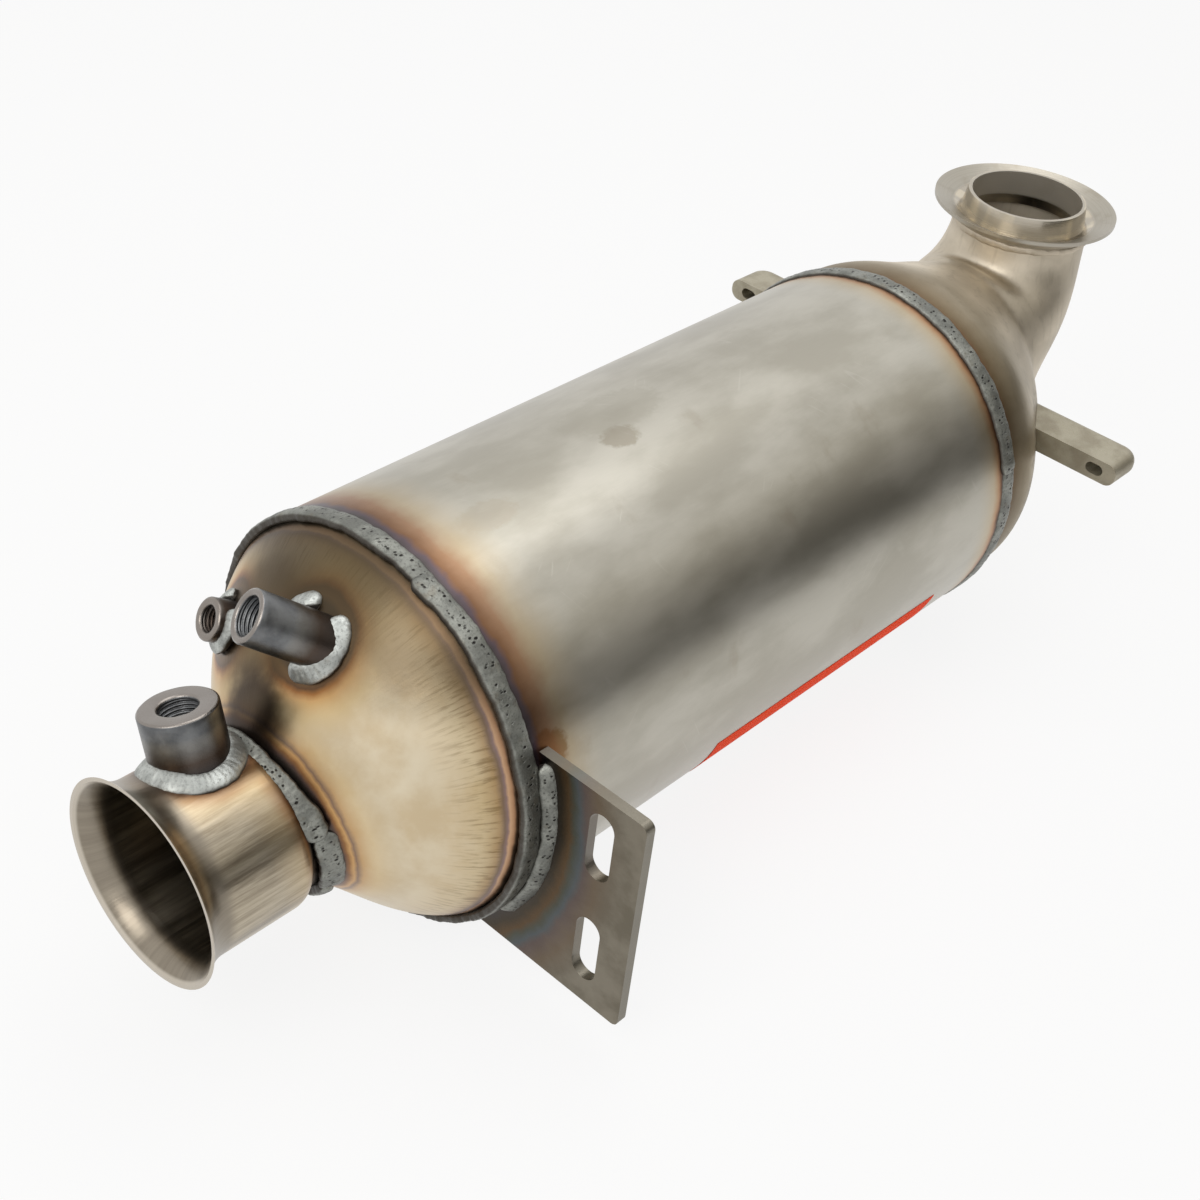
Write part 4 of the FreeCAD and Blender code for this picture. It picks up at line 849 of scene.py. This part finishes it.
# %% Lay the boss beads
def square_axes(axis):
    """Two directions across an axis: the X and Y axes turned the shortest way from Z to the axis."""
    a = unit(axis)
    z = np.array([0.0, 0, 1])
    v, c = np.cross(z, a), a @ z
    k = np.array([[0, -v[2], v[1]], [v[2], 0, -v[0]], [-v[1], v[0], 0]])
    turn = np.eye(3) + k + k @ k / (1 + c)
    return turn[:, 0], turn[:, 1]


def saddle_path(mouth, axis, radius, tube_r, start, end):
    """Circle about a boss axis dropped onto a tube along X: depth is the boss height less the tube's."""
    axis, along = unit(axis), np.array([1.0, 0, 0])
    aside = np.cross(axis, along)
    turn = np.radians(np.linspace(start, end, int(math.radians(end - start) * radius / 0.5)))
    ring = radius * (np.cos(turn)[:, None] * along + np.sin(turn)[:, None] * aside)
    rise = np.sqrt(tube_r**2 - (radius * np.sin(turn)) ** 2)
    centre = np.array([mouth[0], 0, 0])
    path = centre + ring + rise[:, None] * axis
    return path, unit(ring) * 0.8 + axis


def skin_normal(foot):
    """Outward normal of the front cone near a foot, from the cone's straight fall."""
    radial = unit([0, foot[1], foot[2] - CAN_AXIS_Z])
    return unit(radial - np.array([47.5 / 43, 0, 0]))


def foot_path(foot, radius, start, end):
    """Arc round the skin's normal at a boss foot."""
    normal = skin_normal(foot)
    first, second = square_axes(normal)
    turn = np.radians(np.linspace(start, end, int(math.radians(end - start) * radius / 0.45)))
    ring = radius * (np.cos(turn)[:, None] * first + np.sin(turn)[:, None] * second)
    return np.array(foot) + ring + 0.5 * normal, unit(ring) * 0.75 + normal


path, out = saddle_path(TEMPERATURE_MOUTH, TEMPERATURE_AXIS, 14.4, 32.6, 0, 360)
lay_bead("temperature_boss_weld", path, out, 3.9, 2.2, 31, closed=True, finish=foot_weld)
for name, foot, radius, start, end, seed in (
    ("pressure_boss_weld_lower", PRESSURE_FOOT, 11.2, 180, 335, 32),
    ("pressure_boss_weld_upper", PRESSURE_FOOT, 11.2, 15, 80, 33),
    ("side_boss_weld", SIDE_FOOT, 8.8, 0, 300, 34),
):
    path, out = foot_path(foot, radius, start, end)
    wide, high = (4.1, 2.9) if "pressure" in name else (2.8, 2.1)
    print(name, round(lay_bead(name, path, out, wide, high, seed, finish=foot_weld)), "mm long")

# %% [markdown]
# ## Bracket, flange and long seam beads
# The bracket is held by one short bead on its front face. The flange's seam runs right round the
# elbow's mouth under the brim. The can's long seam was planed nearly flush and lies underneath.

# %% Lay the last beads
path, out = hoop(92.0, 78.6, 160, 217)
out = unit(out + np.array([-0.7, 0, 0]))
lay_bead("bracket_weld", path, out, 3.4, 2.5, 41, finish=ring_weld)
turn = np.radians(np.linspace(0, 360, 361))
out = np.stack([np.cos(turn), np.sin(turn), np.zeros_like(turn)], 1)
path = np.array([OUTLET_X, 0, 91.3]) + 29.9 * out
lay_bead("flange_weld", path, out, 1.7, 1.3, 42, closed=True, ripple=0.1, finish=elbow_steel)
seam_turn = np.radians(-60)
out = np.tile([0, math.cos(seam_turn), math.sin(seam_turn)], (420, 1))
path = CAN_R * out + [0, 0, CAN_AXIS_Z]
path[:, 0] = np.linspace(91, 361, 420)
lay_bead("can_seam_weld", path, out, 2.3, 0.75, 43, ripple=0.1, finish=ring_weld)
print("beads laid")

# %% [markdown]
# ## Threaded bosses
# A boss is turned from bar and tapped. Its skin is one profile carried round the axis: up the bore,
# over the chamfer and the rim, and down the outside to the foot. The thread is the bore's radius
# pushed out by a triangle wave that climbs one pitch a turn, so it is a real helix.

# %% Turn the bosses
def thread_groove(depth_mm, turn, pitch, groove):
    """Groove depth of a thread: a triangle wave of height over pitch less the turn, flat at its crest."""
    phase = (depth_mm / pitch - turn / (2 * np.pi)) % 1.0
    return groove * np.clip(1.25 - np.abs(phase - 0.5) * 3.0, 0, 1)


def turned_boss(name, mouth, axis, outer, crest, pitch, foot_depth, columns=128):
    """A tapped boss: radius and depth below the mouth as functions of the profile and the turn."""
    axis = unit(axis)
    first, second = square_axes(axis)
    turn = np.linspace(0, 2 * np.pi, columns, endpoint=False)[None, :]
    ring = np.cos(turn)[..., None] * first + np.sin(turn)[..., None] * second
    bore_end = foot_depth(crest, ring)
    wall_end = foot_depth(outer, ring)
    share = np.linspace(1, 0, 150)[:, None]
    depth = 0.9 + share * (bore_end - 0.9)
    fade = np.clip((depth - 0.9) / 1.2, 0, 1)
    radius = crest + 0.02 + thread_groove(depth, turn, pitch, 0.46 * pitch) * fade
    ones = np.ones((1, columns))
    worn = 0.06 * np.sin(turn * 3 + outer) + 0.04 * np.sin(turn * 7)
    rim = [
        (crest + 1.1, 0.05), (crest + 1.35, 0.0), (outer - 1.0, 0.0), (outer - 0.75, 0.02),
        (outer - 0.12, 0.6), (outer, 0.95), (outer, 2.5),
    ]
    radii = [radius] + [ones * r for r, _ in rim]
    depths = [depth * ones] + [ones * d + (0.5 * worn + 0.05 if d < 0.1 else 0) for _, d in rim]
    down = np.linspace(0.1, 1, 10)[:, None]
    radii.append(np.ones((10, columns)) * outer)
    depths.append(2.5 + down * (wall_end - 2.5))
    radius, depth = np.concatenate(radii), np.concatenate(depths)
    points = np.array(mouth) + radius[..., None] * ring - depth[..., None] * axis
    piece = grid_piece(name, points, closed=True)
    piece.data.materials.append(boss_steel)
    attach(piece, "root")
    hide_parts(name)
    print(name, "pitch", pitch, "mm,", len(piece.data.polygons), "faces")
    return piece


MOUTH_RISE = 51.4
WALL_MIDDLE_R = 31.7


def on_neck(radius, ring):
    """Depth from the mouth to the middle of the neck's wall: the mouth's rise less the tube's rise."""
    aside = ring @ np.cross(unit(TEMPERATURE_AXIS), [1.0, 0, 0]) * radius
    return MOUTH_RISE - np.sqrt(WALL_MIDDLE_R**2 - aside**2)


def on_cone(mouth, axis, foot):
    """Depth from the mouth to a plane just under the cone's skin."""
    normal = skin_normal(foot)
    lean = unit(axis) @ normal
    base = (np.array(mouth) - np.array(foot)) @ normal + 1.9
    return lambda radius, ring: (base + radius * (ring @ normal)) / lean


on_pressure_foot = on_cone(PRESSURE_MOUTH, PRESSURE_AXIS, PRESSURE_FOOT)
on_side_foot = on_cone(SIDE_MOUTH, SIDE_AXIS, SIDE_FOOT)
turned_boss("temperature_boss", TEMPERATURE_MOUTH, TEMPERATURE_AXIS, TEMPERATURE_R, 6.25, 1.5, on_neck)
turned_boss("pressure_boss", PRESSURE_MOUTH, PRESSURE_AXIS, PRESSURE_R, 6.25, 1.5, on_pressure_foot)
turned_boss("side_boss", SIDE_MOUTH, SIDE_AXIS, SIDE_R, 4.25, 1.5, on_side_foot)

# %% [markdown]
# ## Finishes for the CAD nodes
# Every node that still shows takes the steel it is made of.

# %% Dress the CAD nodes
dress = {
    "can_shell": can_steel, "front_cone": cone_steel, "inlet_neck": neck_steel, "rear_elbow": elbow_steel,
    "outlet_flange": flange_steel, "front_bracket": plate_steel, "rear_lug_right": lug_steel,
    "rear_lug_left": lug_steel, "rear_lug_weld_right": ring_weld, "rear_lug_weld_left": ring_weld,
    "label_strip": label_film, "oxidation_brick": catalyst, "filter_brick": wall_flow,
    "oxidation_mat": fibre_mat, "filter_mat": fibre_mat,
}
for name, finish in dress.items():
    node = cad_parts[name]
    node.data.materials.clear()
    node.data.materials.append(finish)
shown = sum(not node.hide_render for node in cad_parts.values())
print("dressed", len(dress), "nodes;", shown, "nodes show")

# %% [markdown]
# ## The studio
# The part lies on a pale floor under two soft lights, in a white room. A card stands off to the side,
# dark at its foot and paler towards its top. Only shiny surfaces see it, and it draws the dark band
# along the can.

# %% Floor, card and lights
def flat_card(name, corners):
    """One flat quad from four corners in metres."""
    mesh = bpy.data.meshes.new(name)
    mesh.from_pydata(corners, [], [(0, 1, 2, 3)])
    card = bpy.data.objects.new(name, mesh)
    bpy.context.scene.collection.objects.link(card)
    card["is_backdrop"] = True
    return card


def seen_directly(tree):
    """1 for rays that reach the eye straight or by way of metal or glass."""
    path = tree.nodes.new("ShaderNodeLightPath")
    first = sums(tree, "MAXIMUM", path.outputs["Is Camera Ray"], path.outputs["Is Glossy Ray"])
    return sums(tree, "MAXIMUM", first, path.outputs["Is Transmission Ray"])


floor_z = cad_low.z - 0.0005
floor = flat_card("studio_floor", [(-5, -5, floor_z), (5, -5, floor_z), (5, 5, floor_z), (-5, 5, floor_z)])
paper, tree, shader = new_finish("studio_paper")
tree.nodes.remove(shader)
matt = add(tree, "BsdfDiffuse", {"Color": (0.86, 0.86, 0.86, 1)})
glow = add(tree, "Emission", {"Color": (1, 1, 1, 1), "Strength": 1.0})
share = times(tree, seen_directly(tree), 0.86)
mixed = add(tree, "MixShader", [share, matt, glow])
tree.links.new(mixed, tree.nodes["Material Output"].inputs["Surface"])
floor.data.materials.append(paper)

aim = np.array([0.645, -0.763])
side_way = np.array([0.763, 0.645])
mid = np.array([0.23, 0.0]) + 1.1 * aim
left, right = mid - 1.7 * side_way, mid + 1.1 * side_way
card = flat_card("dark_card", [(*left, floor_z), (*right, floor_z), (*right, 0.95), (*left, 0.95)])
felt, tree, shader = new_finish("card_felt")
tree.nodes.remove(shader)
_, _, height = x_y_z(tree, add(tree, "TexCoord", out="Object"))
fade = slope(tree, between(tree, height, 0.12, 1.05), 0.92, 0.07)
felt_glow = add(tree, "Emission", {"Color": (1, 0.97, 0.9, 1), "Strength": fade})
tree.links.new(felt_glow, tree.nodes["Material Output"].inputs["Surface"])
card.data.materials.append(felt)
card.visible_camera = False
card.visible_diffuse = False
card.visible_shadow = False

world = bpy.data.worlds.new("studio_room")
bpy.context.scene.world = world
world.use_nodes = True
tree = world.node_tree
tree.nodes.clear()
white = add(tree, "Background", {"Color": (1, 1, 1, 1), "Strength": 1.0})
fill = add(tree, "Background", {"Color": (1, 0.985, 0.96, 1), "Strength": 0.55})
room = add(tree, "MixShader", [seen_directly(tree), fill, white])
output = tree.nodes.new("ShaderNodeOutputWorld")
tree.links.new(room, output.inputs["Surface"])


def soft_light(name, place, target, size, power, shade=(1, 1, 1)):
    """A square area light at a place in metres, turned to a target."""
    lamp = bpy.data.lights.new(name, "AREA")
    lamp.shape = "SQUARE"
    lamp.size = size
    lamp.energy = power
    lamp.color = shade
    light = bpy.data.objects.new(name, lamp)
    bpy.context.scene.collection.objects.link(light)
    back = unit(np.array(place, float) - np.array(target, float))
    right_way = unit(np.cross([0, 0, 1], back)) if abs(back[2]) < 0.99 else np.array([1.0, 0, 0])
    up_way = np.cross(back, right_way)
    turn = np.eye(4)
    turn[:3, 0], turn[:3, 1], turn[:3, 2], turn[:3, 3] = right_way, up_way, back, place
    light.matrix_world = Matrix(turn.tolist())
    return light


soft_light("top_softbox", (0.45, 0.15, 1.25), (0.25, 0, 0.02), 1.0, 4.7)
soft_light("front_softbox", (-0.75, -0.15, 0.95), (0.1, 0, 0.02), 0.7, 4.2, (1, 0.98, 0.95))
print("studio is set")

# %% [markdown]
# ## The camera
# The camera stands in front of the inlet and looks down along the can, at the angle of the photograph.
# Its place came from fitting the two ring planes and the outlet to their outlines.

# %% Camera
lens = bpy.data.cameras.new("studio_camera")
lens.sensor_width = 36
lens.lens = 54.75
lens.clip_start = 0.01
camera = bpy.data.objects.new("studio_camera", lens)
bpy.context.scene.collection.objects.link(camera)
right_way = (0.67872, -0.72792, 0.09732)
up_way = (0.39188, 0.47106, 0.79028)
back_way = (-0.62110, -0.49824, 0.60497)
place = (-0.2348, -0.3500, 0.4332)
camera.matrix_world = Matrix([*zip(right_way, up_way, back_way, place), (0, 0, 0, 1)])
bpy.context.scene.camera = camera
bpy.context.scene.view_settings.view_transform = "Standard"
print("camera stands", round(math.dist(place, (0.23, 0, 0)), 2), "m from the can's middle")

# %% [markdown]
# The dressed model has to stay inside the CAD box. Both boxes are written down, so they can be compared.

# %% Sizes and finish
low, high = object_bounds()
print("visual box in metres", [round(v, 4) for v in (*low, *high)])
